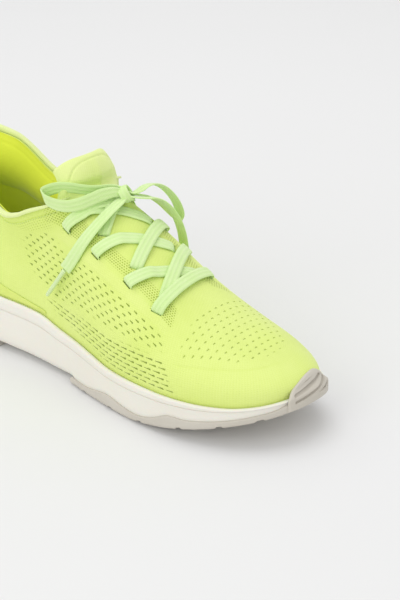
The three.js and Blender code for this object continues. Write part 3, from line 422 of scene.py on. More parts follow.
# ---------------------------------------------------------------- material nodes
class Graph:
    """Short calls that build one material's nodes."""

    def __init__(self, name, colour, roughness):
        self.material = bpy.data.materials.new(name)
        self.material.use_nodes = True
        self.tree = self.material.node_tree
        self.shader = self.tree.nodes["Principled BSDF"]
        self.set(Roughness=roughness)
        self.colour = (*colour, 1)
        self.last_bump = None

    def set(self, **values):
        for name, value in values.items():
            self.feed(self.shader.inputs[name.replace("_", " ")], value)

    def add(self, kind, **settings):
        node = self.tree.nodes.new(kind)
        for key, value in settings.items():
            setattr(node, key, value)
        return node

    def feed(self, socket, value):
        if isinstance(value, bpy.types.NodeSocket):
            self.tree.links.new(value, socket)
        else:
            socket.default_value = value

    def math(self, operation, *values, clamp=False):
        node = self.add("ShaderNodeMath", operation=operation, use_clamp=clamp)
        for socket, value in zip(node.inputs, values):
            self.feed(socket, value)
        return node.outputs[0]

    def times(self, a, b):
        return self.math("MULTIPLY", a, b)

    def plus(self, a, b):
        return self.math("ADD", a, b)

    def minus(self, a, b):
        return self.math("SUBTRACT", a, b)

    def inverse(self, value):
        return self.minus(1.0, value)

    def step(self, value, low, high):
        node = self.add("ShaderNodeMapRange", interpolation_type="SMOOTHSTEP")
        self.feed(node.inputs["Value"], value)
        self.feed(node.inputs["From Min"], low)
        self.feed(node.inputs["From Max"], high)
        return node.outputs[0]

    def shade(self, share, factor):
        """Multiplies the colour so far by factor, a colour, where share is 1."""
        node = self.add("ShaderNodeMix", data_type="RGBA", blend_type="MULTIPLY")
        self.feed(node.inputs[0], share)
        self.feed(node.inputs[6], self.colour)
        self.feed(node.inputs[7], (*factor, 1))
        self.colour = node.outputs[2]

    def object_place(self):
        return self.add("ShaderNodeTexCoord").outputs["Object"]

    def noise(self, scale, detail=3.0, roughness=0.55):
        node = self.add("ShaderNodeTexNoise")
        self.feed(node.inputs["Vector"], self.object_place())
        self.feed(node.inputs["Scale"], scale)
        self.feed(node.inputs["Detail"], detail)
        self.feed(node.inputs["Roughness"], roughness)
        return node.outputs["Fac"]

    def value_of(self, name):
        return self.add("ShaderNodeAttribute", attribute_type="GEOMETRY", attribute_name=name).outputs["Fac"]

    def uv(self):
        """The UV map as two sockets, in millimetres."""
        split = self.add("ShaderNodeSeparateXYZ")
        self.feed(split.inputs[0], self.add("ShaderNodeUVMap", uv_map="UVMap").outputs[0])
        return self.times(split.outputs[0], 1000), self.times(split.outputs[1], 1000)

    def wave(self, value, pitch, shift=0.0):
        """A sine wave from 0 to 1."""
        turn = self.plus(self.times(value, 2 * math.pi / pitch), shift)
        return self.math("MULTIPLY_ADD", self.math("SINE", turn), 0.5, 0.5)

    def bump(self, height, depth):
        """Adds relief of a depth in millimetres; height runs from 0 to 1."""
        node = self.add("ShaderNodeBump")
        self.feed(node.inputs["Strength"], 1.0)
        self.feed(node.inputs["Distance"], depth * MM)
        self.feed(node.inputs["Height"], height)
        if self.last_bump is not None:
            self.feed(node.inputs["Normal"], self.last_bump)
        self.last_bump = node.outputs[0]

    def dashes(self, u, v, look):
        pitch_u, pitch_v, half, thin, thick, soft = look
        across = self.math("DIVIDE", v, pitch_v)
        odd = self.math("FLOORED_MODULO", self.math("FLOOR", across), 2.0)
        run = self.plus(self.math("DIVIDE", u, pitch_u), self.times(odd, 0.5))
        cu = self.times(self.minus(self.math("FRACT", run), 0.5), pitch_u)
        cv = self.times(self.minus(self.math("FRACT", across), 0.5), pitch_v)
        past = self.math("MAXIMUM", self.minus(self.math("ABSOLUTE", cu), half), 0.0)
        across_square = self.math("POWER", self.math("ABSOLUTE", cv), 2.0)
        squares = self.plus(self.math("POWER", past, 2.0), across_square)
        share = self.math("MULTIPLY_ADD", cu, 0.5 / half, 0.5, clamp=True)
        radius = self.math("MULTIPLY_ADD", self.math("POWER", share, 2.0), thick - thin, thin)
        return self.step(self.minus(radius, self.math("SQRT", squares)), -soft, soft)

    def knit_loops(self, u, v, width=1.7, height=1.25):
        """Rows of small interlocked loops, from 0 to 1."""
        lean = self.times(self.wave(v, height), width * 0.3)
        columns = self.wave(self.plus(u, lean), width)
        rows = self.wave(v, height)
        return self.math("MULTIPLY_ADD", columns, 0.55, self.times(rows, 0.45))

    def finish(self):
        self.feed(self.shader.inputs["Base Color"], self.colour)
        if self.last_bump is not None:
            self.feed(self.shader.inputs["Normal"], self.last_bump)
        return self.material


def soft_cloth(g, sheen=0.25):
    g.set(Sheen_Weight=sheen, Sheen_Roughness=0.5, Specular_IOR_Level=0.25)


# ---------------------------------------------------------------- materials
KNIT_COLOUR = (0.765, 0.885, 0.27)


def knit_material():
    g = Graph("fine_knit", KNIT_COLOUR, 0.85)
    soft_cloth(g)
    g.shade(g.step(g.noise(30, 4), 0.35, 0.7), (0.95, 0.965, 0.86))
    # painted shade in the toe crease and in the groove below the opening edge
    g.shade(g.value_of("recess_shade"), (0.9, 0.93, 0.7))
    g.shade(g.value_of("pale"), (1.06, 1.02, 1.25))
    coordinates = {name: g.value_of(name) for name in ("along", "up", "climb", "side", "forward", "drop")}
    loops = g.times(g.knit_loops(coordinates["along"], coordinates["up"]), g.value_of("even"))
    loops = g.plus(loops, g.times(g.inverse(g.value_of("even")), 0.5))
    # painted shade in the grooves between the knit loops
    g.shade(g.times(g.inverse(loops), 0.4), (0.86, 0.9, 0.6))
    g.bump(loops, 0.12)
    # each pattern's holes are sunk by bump and darkened with painted shade
    for mask, u, v, look, depth, hole_shade in PATTERNS:
        dashes = g.times(g.dashes(coordinates[u], coordinates[v], look), g.value_of(mask))
        g.shade(dashes, hole_shade)
        g.bump(g.inverse(dashes), depth)
    g.bump(g.noise(900, 2), 0.05)
    return g.finish()


def plain_cloth(name, colour, roughness=0.85, loop=(1.5, 1.1), relief=0.12, sheen=0.25):
    g = Graph(name, colour, roughness)
    soft_cloth(g, sheen)
    u, v = g.uv()
    loops = g.knit_loops(u, v, *loop)
    g.shade(g.step(g.noise(40, 4), 0.35, 0.7), (0.95, 0.965, 0.88))
    # painted shade in the grooves between the loops
    g.shade(g.times(g.inverse(loops), 0.45), (0.84, 0.88, 0.6))
    g.bump(loops, relief)
    g.bump(g.noise(1200, 2), 0.05)
    return g.finish()


def binding_material():
    g = Graph("ribbed_edge_tape", (0.82, 0.91, 0.42), 0.8)
    soft_cloth(g, 0.35)
    u, v = g.uv()
    ribs = g.wave(u, 1.5)
    # painted shade in the grooves between the ribs
    g.shade(g.times(g.inverse(ribs), 0.3), (0.86, 0.9, 0.65))
    g.shade(g.step(g.noise(60), 0.4, 0.7), (0.96, 0.97, 0.9))
    g.bump(ribs, 0.14)
    g.bump(g.wave(v, 0.9), 0.05)
    g.bump(g.noise(1400, 2), 0.04)
    return g.finish()


def lace_material():
    g = Graph("flat_woven_lace", (0.76, 0.93, 0.48), 0.75)
    soft_cloth(g, 0.35)
    u, v = g.uv()
    bands = g.wave(v, 2.6, 1.2)
    left = g.wave(g.plus(u, v), 1.1)
    right = g.wave(g.minus(u, v), 1.1)
    weave = g.math("MAXIMUM", left, right)
    # painted shade between the woven threads and between the lengthwise ridges
    g.shade(g.times(g.inverse(weave), 0.55), (0.72, 0.86, 0.5))
    g.shade(g.times(g.inverse(bands), 0.35), (0.8, 0.92, 0.65))
    g.shade(g.step(g.noise(50), 0.4, 0.7), (0.95, 0.98, 0.9))
    g.bump(bands, 0.2)
    g.bump(weave, 0.1)
    g.bump(g.noise(1600, 2), 0.04)
    return g.finish()


def film_material():
    g = Graph("welded_film", (0.72, 0.83, 0.19), 0.42)
    g.set(Coat_Weight=0.15, Coat_Roughness=0.35)
    u, v = g.uv()
    g.shade(g.step(g.noise(25), 0.4, 0.7), (0.95, 0.97, 0.85))
    g.bump(g.knit_loops(u, v), 0.06)
    g.bump(g.noise(500, 3), 0.05)
    return g.finish()


def foam_material(name, colour, pore, relief, roughness=0.75):
    g = Graph(name, colour, roughness)
    g.shade(g.step(g.noise(18, 4), 0.35, 0.75), (0.965, 0.96, 0.94))
    cells = g.add("ShaderNodeTexVoronoi", feature="SMOOTH_F1")
    g.feed(cells.inputs["Vector"], g.object_place())
    g.feed(cells.inputs["Scale"], 1000 / pore)
    g.bump(cells.outputs["Distance"], relief)
    g.bump(g.noise(260, 4), 0.06)
    return g.finish()


def midsole_material():
    g = Graph("moulded_foam", (0.855, 0.83, 0.755), 0.62)
    g.set(Subsurface_Weight=0.08, Subsurface_Scale=0.003)
    g.shade(g.step(g.noise(16, 4), 0.35, 0.75), (0.97, 0.965, 0.95))
    # painted shade along the groove line of the midsole wall
    g.shade(g.value_of("groove"), (0.8, 0.78, 0.74))
    g.bump(g.noise(420, 4), 0.1)
    g.bump(g.noise(1500, 2), 0.05)
    return g.finish()


def rubber_material():
    g = Graph("moulded_rubber", (0.62, 0.585, 0.515), 0.6)
    g.shade(g.step(g.noise(22, 4), 0.35, 0.75), (0.93, 0.92, 0.9))
    # painted shade in the tread grooves and in the shield's sunken panel
    g.shade(g.value_of("groove"), (0.62, 0.6, 0.57))
    g.bump(g.noise(700, 4), 0.09)
    return g.finish()


def tip_material():
    g = Graph("lace_tip_film", (0.76, 0.92, 0.5), 0.22)
    g.set(Coat_Weight=0.6, Coat_Roughness=0.12, Transmission_Weight=0.12)
    u, v = g.uv()
    g.shade(g.times(g.wave(u, 1.3), 0.35), (0.82, 0.93, 0.7))
    g.bump(g.wave(v, 2.4), 0.06)
    return g.finish()


def board_material(name, colour):
    g = Graph(name, colour, 0.85)
    fibres = g.noise(800, 5, 0.7)
    g.shade(fibres, (0.88, 0.87, 0.82))
    g.bump(fibres, 0.12)
    return g.finish()


knit = knit_material()
binding = binding_material()
tongue_cloth = plain_cloth("padded_tongue_knit", (0.82, 0.92, 0.38), loop=(1.3, 1.0), relief=0.1)
lining_cloth = plain_cloth("brushed_lining", (0.8, 0.88, 0.07), 0.95, (1.1, 0.9), 0.08, 0.5)
insole_cloth = plain_cloth("insole_cloth", (0.72, 0.8, 0.1), 0.9, (1.4, 1.4), 0.12, 0.3)
lace_cloth = lace_material()
film = film_material()
tape = plain_cloth("woven_tape", (0.7, 0.82, 0.28), 0.7, (0.9, 0.9), 0.08)
soft_foam = foam_material("open_cell_foam", (0.82, 0.8, 0.62), 0.9, 0.12, 0.95)
stiffener = board_material("thermoplastic_sheet", (0.85, 0.84, 0.78))
board = board_material("non_woven_board", (0.7, 0.67, 0.58))
midsole_foam = midsole_material()
rubber = rubber_material()
lace_tip = tip_material()
thread = plain_cloth("sewing_thread", (0.8, 0.92, 0.4), 0.7, (0.5, 0.5), 0.05)


# ---------------------------------------------------------------- camera
CAMERA_TURN, CAMERA_RISE, CAMERA_ROLL = 41.5, 24.94, -1.1   # degrees
CAMERA_TARGET = (0.02153, 0.04871, 0.03544)                 # metres
CAMERA_DISTANCE = 1.01257


def make_camera():
    azimuth, elevation, roll = (math.radians(a) for a in (CAMERA_TURN, CAMERA_RISE, CAMERA_ROLL))
    back = Vector((math.sin(azimuth) * math.cos(elevation), -math.cos(azimuth) * math.cos(elevation),
                   math.sin(elevation)))
    right = Vector((math.cos(azimuth), math.sin(azimuth), 0))
    up = back.cross(right)
    tilted_right = right * math.cos(roll) + up * math.sin(roll)
    tilted_up = up * math.cos(roll) - right * math.sin(roll)
    data = bpy.data.cameras.new("camera")
    data.sensor_fit = "AUTO"
    data.sensor_width = 36
    data.lens = 96.4
    data.shift_x = 0.0076
    data.shift_y = -0.0049
    camera = bpy.data.objects.new("camera", data)
    place = Vector(CAMERA_TARGET) + back * CAMERA_DISTANCE
    axes = Matrix((tilted_right, tilted_up, back)).transposed().to_4x4()
    camera.matrix_world = Matrix.Translation(place) @ axes
    bpy.context.scene.collection.objects.link(camera)
    bpy.context.scene.camera = camera


make_camera()


# ---------------------------------------------------------------- ribbons
RIBBON_SIDES = 20        # faces round a lace


def ribbon(build, points, widths, width=LACE_WIDTH, thick=LACE_THICK):
    """A flat woven band with round edges and three low lengthwise ridges."""
    along = unit(np.gradient(points, axis=0))
    across = unit(widths - along * np.sum(widths * along, axis=1, keepdims=True))
    face = np.cross(along, across)
    turn = np.linspace(0, 2 * math.pi, RIBBON_SIDES + 1)
    edge = np.sign(np.cos(turn)) * np.abs(np.cos(turn)) ** 0.7
    x = np.broadcast_to(width, len(points))[:, None] * edge / 2
    y = np.sign(np.sin(turn)) * np.abs(np.sin(turn)) ** 0.6 * thick / 2
    y *= 0.93 + 0.07 * np.cos(3 * math.pi * edge)
    rings = points[:, None] + across[:, None] * x[..., None] + face[:, None] * y[None, :, None]
    run = arc_lengths(points[:, None], 0)[:, 0]
    uv = np.stack(np.broadcast_arrays(run[:, None], x + LACE_WIDTH), axis=-1)
    index = build.grid(rings, uv)
    for ring, end in ((index[0], points[0]), (index[-1], points[-1])):
        centre = build.add_points(end, None, {})
        build.faces.extend([[int(a), int(b), centre] for a, b in zip(ring[:-1], ring[1:])])


# ---------------------------------------------------------------- the bow: free cords
# The same points as the CAD part; the two directions are the lace's width at each end.
CORDS = {
    "bow_loop_lateral": (
        [(143, -1.4, 115.2), (137.2, -8.5, 115.2), (131.1, -12.5, 115.5), (124.5, -16, 116),
         (117.8, -19.5, 115.7), (112.8, -23, 114.2), (110.6, -26.8, 112.4), (114.2, -29, 110.4),
         (121.5, -28, 108.4), (128.9, -24.5, 107.9), (135.1, -20.5, 109.6), (139.4, -16, 111.8),
         (142.4, -10.4, 113.6)],
        [(0, -0.5, 0.86), (-0.2, 0, 0.98)]),
    "bow_loop_medial": (
        [(154.8, 11.5, 113.6), (155.2, 16, 115), (155.8, 22, 114.6), (156.6, 29, 111), (157.6, 36, 103.8),
         (157.8, 41.5, 95), (157, 43.8, 88.5), (155, 43.5, 85.6), (153, 40.8, 88.8), (151.5, 36, 94.5),
         (150.6, 29, 100.8), (150.4, 20.5, 106.2), (150.6, 14.2, 108.8)],
        [(1, 0, 0.25), (1, -0.1, 0.1)]),
    "lace_tail_lateral": (
        [(151, -4.5, 109), (151.2, -9.5, 107.3), (151.2, -14.5, 105.2), (150.4, -19.5, 102),
         (148.6, -24.6, 97.4), (145.6, -29.4, 91), (142.6, -32.8, 84.2), (139.4, -34.8, 78.2),
         (136.2, -36.6, 72.8)],
        [(0.97, 0.22, 0.05), (0.9, 0.25, 0.3)]),
    "lace_tail_medial": (
        [(160.2, 11, 110), (161.6, 16, 108.8), (163, 21.5, 105.6), (164.4, 27.2, 99.4), (165.4, 32.2, 91),
         (165.6, 35.8, 81.6), (165.2, 38, 72.4), (164.6, 39.6, 64), (164, 41, 56.5)],
        [(0.96, -0.2, 0.2), (0.99, 0, 0.05)]),
}
AGLET_LENGTH = 22.0


def to_row(points):
    return (np.asarray(points, float) + HEEL_FRAME) * MM


def make_aglet(name, tail):
    """A slim shrunk-film tip, a little past the end of the lace."""
    points = np.array(CORDS[tail][0], float)
    along = unit(points[-1] - points[-2])
    side = unit(np.cross(along, [0, 0, 1.0]))
    other = np.cross(along, side)
    profile = [(0, 0), (1.5, 0.05), (1.85, 0.8), (1.9, 2.2), (1.75, 3.2), (1.75, 18.4), (1.65, 20.4),
               (1.2, 21.6), (0.6, 21.95), (0, AGLET_LENGTH)]
    turn = np.linspace(0, 2 * math.pi, 25)
    radius = np.array([r for r, _ in profile])
    reach = np.array([y for _, y in profile]) + GAP
    rings = (points[-1] + along * reach[:, None])[:, None] + radius[:, None, None] * (
        side * np.cos(turn)[:, None] + other * 0.82 * np.sin(turn)[:, None])
    uv = np.stack(np.broadcast_arrays(reach[:, None], turn[None] * 1.8), axis=-1)
    build = Build()
    build.grid(rings, uv)
    return build.finish(name, "shoe", "aglet", lace_tip, [name], sharp=60)


def make_cord(name):
    points, widths = CORDS[name]
    line = resample(spline(points), 0.8)[0]
    share = np.linspace(0, 1, len(line))[:, None]
    axes = lerp(np.array(widths[0], float), np.array(widths[1], float), share)
    build = Build()
    ribbon(build, line, axes)
    piece = build.finish(name, "shoe", "lace", lace_cloth, [name], sharp=75)
    return piece


aglet_lateral = make_aglet("aglet_lateral", "lace_tail_lateral")
aglet_medial = make_aglet("aglet_medial", "lace_tail_medial")
make_cord("bow_loop_lateral")
make_cord("bow_loop_medial")
make_cord("lace_tail_lateral")
make_cord("lace_tail_medial")


# ---------------------------------------------------------------- lace slits and the lace route
KNOT_CENTRE = np.array([149.5, 4.5, 111.2])
SLITS = {
    "outer": np.array([(127, -24.5, 0), (155, -29, 0), (182, -30.5, 0), (205, -31, 0)], float),
    "inner": np.array([(133.5, 24.3, 0), (164, 21, 0), (182, 20.5, 0), (201, 20, 0)], float),
}
INBOARD = {"outer": unit(np.array([-0.2, 1, 0])), "inner": unit(np.array([-0.05, -1, 0]))}
TOP_INBOARD = {"outer": np.array([0.5, 0.75, 0]), "inner": np.array([0.22, -0.86, 0])}
KNOT_ENDS = {"outer": KNOT_CENTRE + [-5.5, -6.6, 0], "inner": KNOT_CENTRE + [-4.5, 6.4, 0]}


def vamp_samples():
    q = np.linspace(share_at(112), 1, 260)
    ps = np.concatenate([-q, q])
    p, v = [a.ravel() for a in np.meshgrid(ps, np.linspace(0.3, 1, 110), indexing="ij")]
    points = upper_point(p, v)
    tree = KDTree(len(points))
    for i, (x, y, _) in enumerate(points):
        tree.insert((x, y, 0), i)
    tree.balance()
    return tree, points, upper_normal(p, v)


VAMP_TREE, VAMP_POINTS, VAMP_NORMALS = vamp_samples()


def on_vamp(x, y, height):
    """The outer face above or below a plan position on the instep, with its normal."""
    _, i, _ = VAMP_TREE.find((x, y, 0))
    near, normal = VAMP_POINTS[i], VAMP_NORMALS[i]
    lift = -(normal[0] * (x - near[0]) + normal[1] * (y - near[1])) / normal[2]
    return np.array([x, y, near[2] + lift]) + normal * height, normal


def other_side(side):
    return "inner" if side == "outer" else "outer"


def inner_slit(side, row):
    inboard = TOP_INBOARD if row == 0 else INBOARD
    return SLITS[side][row] + inboard[side] * SLIT_STEP


def outer_slit_far(side, row):
    """Where the strip through an outer slit comes from."""
    return SLITS[other_side(side)][3] if row == 3 else inner_slit(other_side(side), row + 1)


def inner_slit_far(side, row):
    """Where the strip through an inner slit goes to."""
    return KNOT_ENDS[side] if row == 0 else SLITS[other_side(side)][row - 1]


def slit_axis(place, far, normal):
    """The lace's width in a slit: square to its strip, flat on the surface, towards the toe."""
    along = np.array([far[0] - place[0], far[1] - place[1], 0])
    along[2] = -(normal[0] * along[0] + normal[1] * along[1]) / normal[2]
    axis = unit(np.cross(normal, along))
    return -axis if axis[0] < 0 else axis


def over_knit(start, end, ts, height_at):
    """Points along a straight plan route over the knit, with the lace's width square to it."""
    steps = []
    for t in ts:
        place = lerp(start, end, t)
        point, normal = on_vamp(place[0], place[1], height_at(t))
        steps.append((point, slit_axis(start, end, normal)))
    return steps


def strip_path(start, end, start_height, cross_height, end_height):
    def height_at(t):
        if t < 0.5:
            return lerp(start_height, cross_height, smooth(t / 0.38))
        return lerp(cross_height, end_height, smooth((t - 0.56) / 0.14))

    return over_knit(start, end, np.linspace(0.05, 0.985, 32), height_at)


def pass_path(side, row):
    """Down through the outer slit, beneath the knit, and up through the inner one."""
    start, end = SLITS[side][row], inner_slit(side, row)
    depths = [(0, 0.6), (0, -0.7), (0, -2), (0, LACE_UNDER + 0.5), (0.09, LACE_UNDER), (0.5, LACE_UNDER),
              (0.91, LACE_UNDER), (1, LACE_UNDER + 0.5), (1, -2), (1, -0.9), (1, 0.1)]
    steps = []
    for share, height in depths:
        place = lerp(start, end, share)
        point, normal = on_vamp(place[0], place[1], height)
        first = slit_axis(start, outer_slit_far(side, row), normal)
        last = slit_axis(end, inner_slit_far(side, row), normal)
        steps.append((point, unit(lerp(first, last, share))))
    return steps


def lace_side(side):
    """The lace between the knot and one end of the bottom bar, listed from the bar upwards."""
    steps = []
    for row in (3, 2, 1):
        over = LACE_HIGH if side == "outer" else LACE_LOW
        steps += pass_path(side, row)
        steps += strip_path(inner_slit(side, row), inner_slit_far(side, row), LACE_LOW, over, LACE_HIGH)
        side = other_side(side)
    return [*steps, *pass_path(side, 0),
            *over_knit(inner_slit(side, 0), KNOT_ENDS[side], np.linspace(0.08, 1, 16),
                       lambda t: lerp(LACE_LOW + 0.8, 2.3, smooth(t / 0.3)))]


def make_lace():
    bar = strip_path(SLITS["outer"][3], SLITS["inner"][3], LACE_HIGH, LACE_HIGH, LACE_HIGH)
    steps = [*lace_side("outer")[::-1], *bar, *lace_side("inner")]
    points, axes = resample(np.array([a for a, _ in steps]), 0.7, np.array([b for _, b in steps]))
    build = Build()
    ribbon(build, soften(points, 3), axes)
    return build.finish("lace", "shoe", "lace", lace_cloth, ["lace"], sharp=75)


make_lace()


def make_knot():
    """The tied part: lace strands drawn together, and one turn of lace wrapped round them."""
    build = Build()
    bundle = unit(np.array([0.75, 0.66, 0.0]))
    square = np.array([-0.66, 0.75, 0.0])
    ups = np.array([0, 0, 1.0])
    # cord, which of its ends, and where that end meets the bundle: upwards and sideways
    ends = [("bow_loop_lateral", 0, 2.2, 0.8), ("bow_loop_lateral", -1, 0.8, -0.6),
            ("bow_loop_medial", 0, 2.0, 0), ("bow_loop_medial", -1, 0, 0.4),
            ("lace_tail_lateral", 0, -1.2, -0.8), ("lace_tail_medial", 0, -0.8, 0.8)]
    for name, end, rise, aside in ends:
        points, widths = CORDS[name]
        start, before = np.array(points[end], float), np.array(points[1 if end == 0 else -2], float)
        inward = unit(start - before)
        centre = KNOT_CENTRE + ups * rise + square * aside
        reach = np.linalg.norm(centre - start)
        halfway = start + inward * reach * 0.3 + (centre - start) * 0.3
        line = resample(spline([start - inward * 1.2, start, halfway, centre]), 0.7)[0]
        axis = np.array(widths[end], float)
        narrow = lerp(LACE_WIDTH, 4.6, smooth(np.linspace(-0.1, 1, len(line))))
        ribbon(build, line, np.tile(axis, (len(line), 1)), narrow, 1.25)
    turn = np.linspace(-0.4, 2 * math.pi * 1.04 - 0.4, 80)
    spread = 0.3 * turn / (2 * math.pi)
    lean = bundle * (-2.4 * np.sin(turn))[:, None]
    sideways = square * ((4.4 + spread) * np.cos(turn))[:, None]
    loop = KNOT_CENTRE + ups * 0.9 + sideways + ups * ((4.0 + spread) * np.sin(turn))[:, None] + lean
    axes = np.tile(unit(bundle + ups * 0.4), (len(turn), 1))
    ribbon(build, loop, axes, 6.2, 1.5)
    return build.finish("bow_knot", "shoe", "lace", lace_cloth, ["bow_knot"], sharp=75)


make_knot()


# ---------------------------------------------------------------- knit upper
def knit_columns():
    half = np.concatenate([
        np.linspace(0, HEEL_SHARE, 30),
        np.linspace(HEEL_SHARE, share_at(116), 42)[1:],
        np.linspace(share_at(116), share_at(OPENING_END), 33)[1:],
        np.linspace(share_at(OPENING_END), share_at(250), 101)[1:],
        np.linspace(share_at(250), 1, 50)[1:],
    ])
    if len(half) % 2 == 0:
        half = np.delete(half, 3)
    return np.concatenate([-half[:0:-1], half])


def climb_from_slits(side, points, up):
    """Length up each rib, measured from the line through one side's outer lace slits."""
    xs = SLITS[side][:, 0]
    zs = np.array([on_vamp(x, y, 0)[0][2] for x, y, _ in SLITS[side]])
    x = points[..., 0]
    line = np.interp(x, xs, zs) + np.minimum(x - xs[0], 0) * (zs[1] - zs[0]) / (xs[1] - xs[0])
    line += np.maximum(x - xs[-1], 0) * (zs[-1] - zs[-2]) / (xs[-1] - xs[-2])
    over = points[..., 2] - line
    last = over.shape[1] - 1
    row = np.where((over > 0).any(axis=1), (over > 0).argmax(axis=1), last)
    row = np.clip(row, 1, last)
    column = np.arange(len(points))
    below, above = over[column, row - 1], over[column, row]
    share = np.clip(-below / np.where(above == below, 1, above - below), 0, 1)
    start = lerp(up[column, row - 1], up[column, row], share)
    start = np.where(over[:, -1] < 0, up[:, -1] - over[:, -1], start)
    return up - start[:, None]


high_top = curve([92, 103, 109, 115, 122.6, 129, 145, 160, 219],
                 [-21, -15.9, -11.6, -9.8, -9.8, -13, -11, -9.7, -8.4])
high_bottom = curve([92, 99, 108, 122, 136, 151, 186, 225], [37, 29.3, 22.9, 18.5, 21, 23.5, 26, 25])
low_top = curve([115, 122, 142, 166, 202, 222, 231], [12, 15, 17.2, 19.3, 21.3, 20, 14])
low_bottom = curve([118, 145, 174, 195], [11.5, 6.5, 3.4, 1.5])
dots_bottom = curve([112, 122, 132, 150, 174, 200, 212, 220, 228],
                    [-3, 0, -1.6, 1, 3.4, 2.8, 2, -0.5, -1])
crease_height = curve([234, 267, 289], [19.4, 22.5, 23.1])


def knit_regions(s, up, climb, x, y, left):
    """Where each pattern of the knit lies, from 0 to 1, at each point of the upper."""
    def past(value, limit, edge=1.0):
        return smooth((value - limit + edge) / (2 * edge))

    low_front = 234.4 - 0.45 * up
    high_front = 218.6 + np.clip((-9 - climb) * 0.85, 0, 7)
    low = past(up, low_bottom(s)) * past(low_top(s), up) * past(s, 119, 6) * past(low_front, s)
    high = past(up, high_bottom(s)) * past(high_top(s), climb) * past(s, 96, 6) * past(high_front, s)
    toe_rear = 221.5 + 0.0045 * (y - 2.5) ** 2
    toe = past(x, toe_rear) * past(268, x, 3) * past(up, 24.5 + 0.11 * (s - 234)) * past(s, 226)
    eyelet = past(climb, dots_bottom(s)) * past(13, climb) * past(s, 112, 3) * past(226, s)
    collar = past(left, 5) * past(15, left, 3) * past(s, 66, 10) * past(120, s, 5)
    collar = collar * past(climb, high_top(s) + 2) * (1 - eyelet)
    return {"low_dashes": low, "high_dashes": high, "toe_dashes": toe, "eyelet_dots": eyelet,
            "collar_dots": collar}


def make_knit_upper():
    ps = knit_columns()
    vs = np.concatenate([[0, 0.04, 0.08], np.linspace(0.1, 1, 98)])
    p, v = np.meshgrid(ps, vs, indexing="ij")
    points, normals = upper_point(p, v), upper_normal(p, v)
    s = station_of(p)
    up = arc_lengths(points, 1)
    up -= up[:, 3:4]
    length = up[:, -1:]
    left = length - up
    climb = np.where(p < 0, climb_from_slits("outer", points, up), climb_from_slits("inner", points, up))
    rim = arc_lengths(points[:, 3:4], 0)
    along = np.broadcast_to(np.abs(rim - rim[len(ps) // 2]), s.shape)
    x, y = points[..., 0], points[..., 1]
    fields = knit_regions(s, up, climb, x, y, left)
    coordinates = {"along": along, "up": up + 40, "climb": climb + 100, "side": y + 100,
                   "forward": x * 1.08, "drop": 200 - left}
    relief = 0.12 * np.sin(x / 17 + 1) * np.sin(y / 13) * smooth((v - 0.1) / 0.1)
    for mask, u_name, v_name, look, depth, _ in PATTERNS[:3]:
        relief -= depth * fields[mask] * dash_mask(coordinates[u_name], coordinates[v_name], look)
    band = smooth((climb + 8.5) / 1.5) * smooth((0.5 - climb) / 1.5)
    band = band * smooth((s - 118) / 8) * smooth((226 - s) / 8)
    relief += 0.3 * band
    crease = np.exp(-((up - crease_height(s)) / 0.8) ** 2) * smooth((s - 230) / 8)
    crease = crease * smooth((294 - s) / 8) * (p < 0)
    relief -= 0.2 * crease
    edge = np.exp(-((left - 4.5) / 0.7) ** 2) * smooth((OPENING_END - 26 - s) / 8)
    relief -= 0.35 * edge
    # painted shade for the sunken crease and edge groove
    fields["recess_shade"] = np.clip(crease * 0.3 + edge * 0.7, 0, 1)
    fields["pale"] = np.clip(band * 0.35 + smooth((s - 232) / 20) * 0.15, 0, 1)
    fields["even"] = smooth((np.hypot(x - 256, y - 3) - 5) / 9)
    outer = points + normals * relief[..., None]
    build = Build()
    build.grid(outer, np.stack([along, up + 40], axis=-1), **fields, **coordinates)
    return build, ps, vs


def knit_inside(build, ps, vs):
    """The inner face at half the density, joined to the outer face along its free borders."""
    rows = np.arange(0, len(vs), 2)
    columns = np.arange(0, len(ps), 2)
    p, v = np.meshgrid(ps[columns], vs[rows], indexing="ij")
    inner = beneath(p, v, KNIT)
    index = build.grid(inner, flip=True)
    for row, inner_row in ((0, 0), (len(vs) - 1, index.shape[1] - 1)):
        for i in range(0, len(ps) - 1, 2):
            middle_station = float(station_of(ps[i + 1]))
            if row and middle_station > OPENING_END:
                continue
            a, b, c = (k * len(vs) + row for k in (i, i + 1, i + 2))
            d, e = int(index[i // 2 + 1, inner_row]), int(index[i // 2, inner_row])
            build.faces.append([a, b, c, d, e])


def leans_along(edge, normal):
    return abs((edge.verts[0].co - edge.verts[1].co).normalized().dot(Vector(normal))) > 0.9


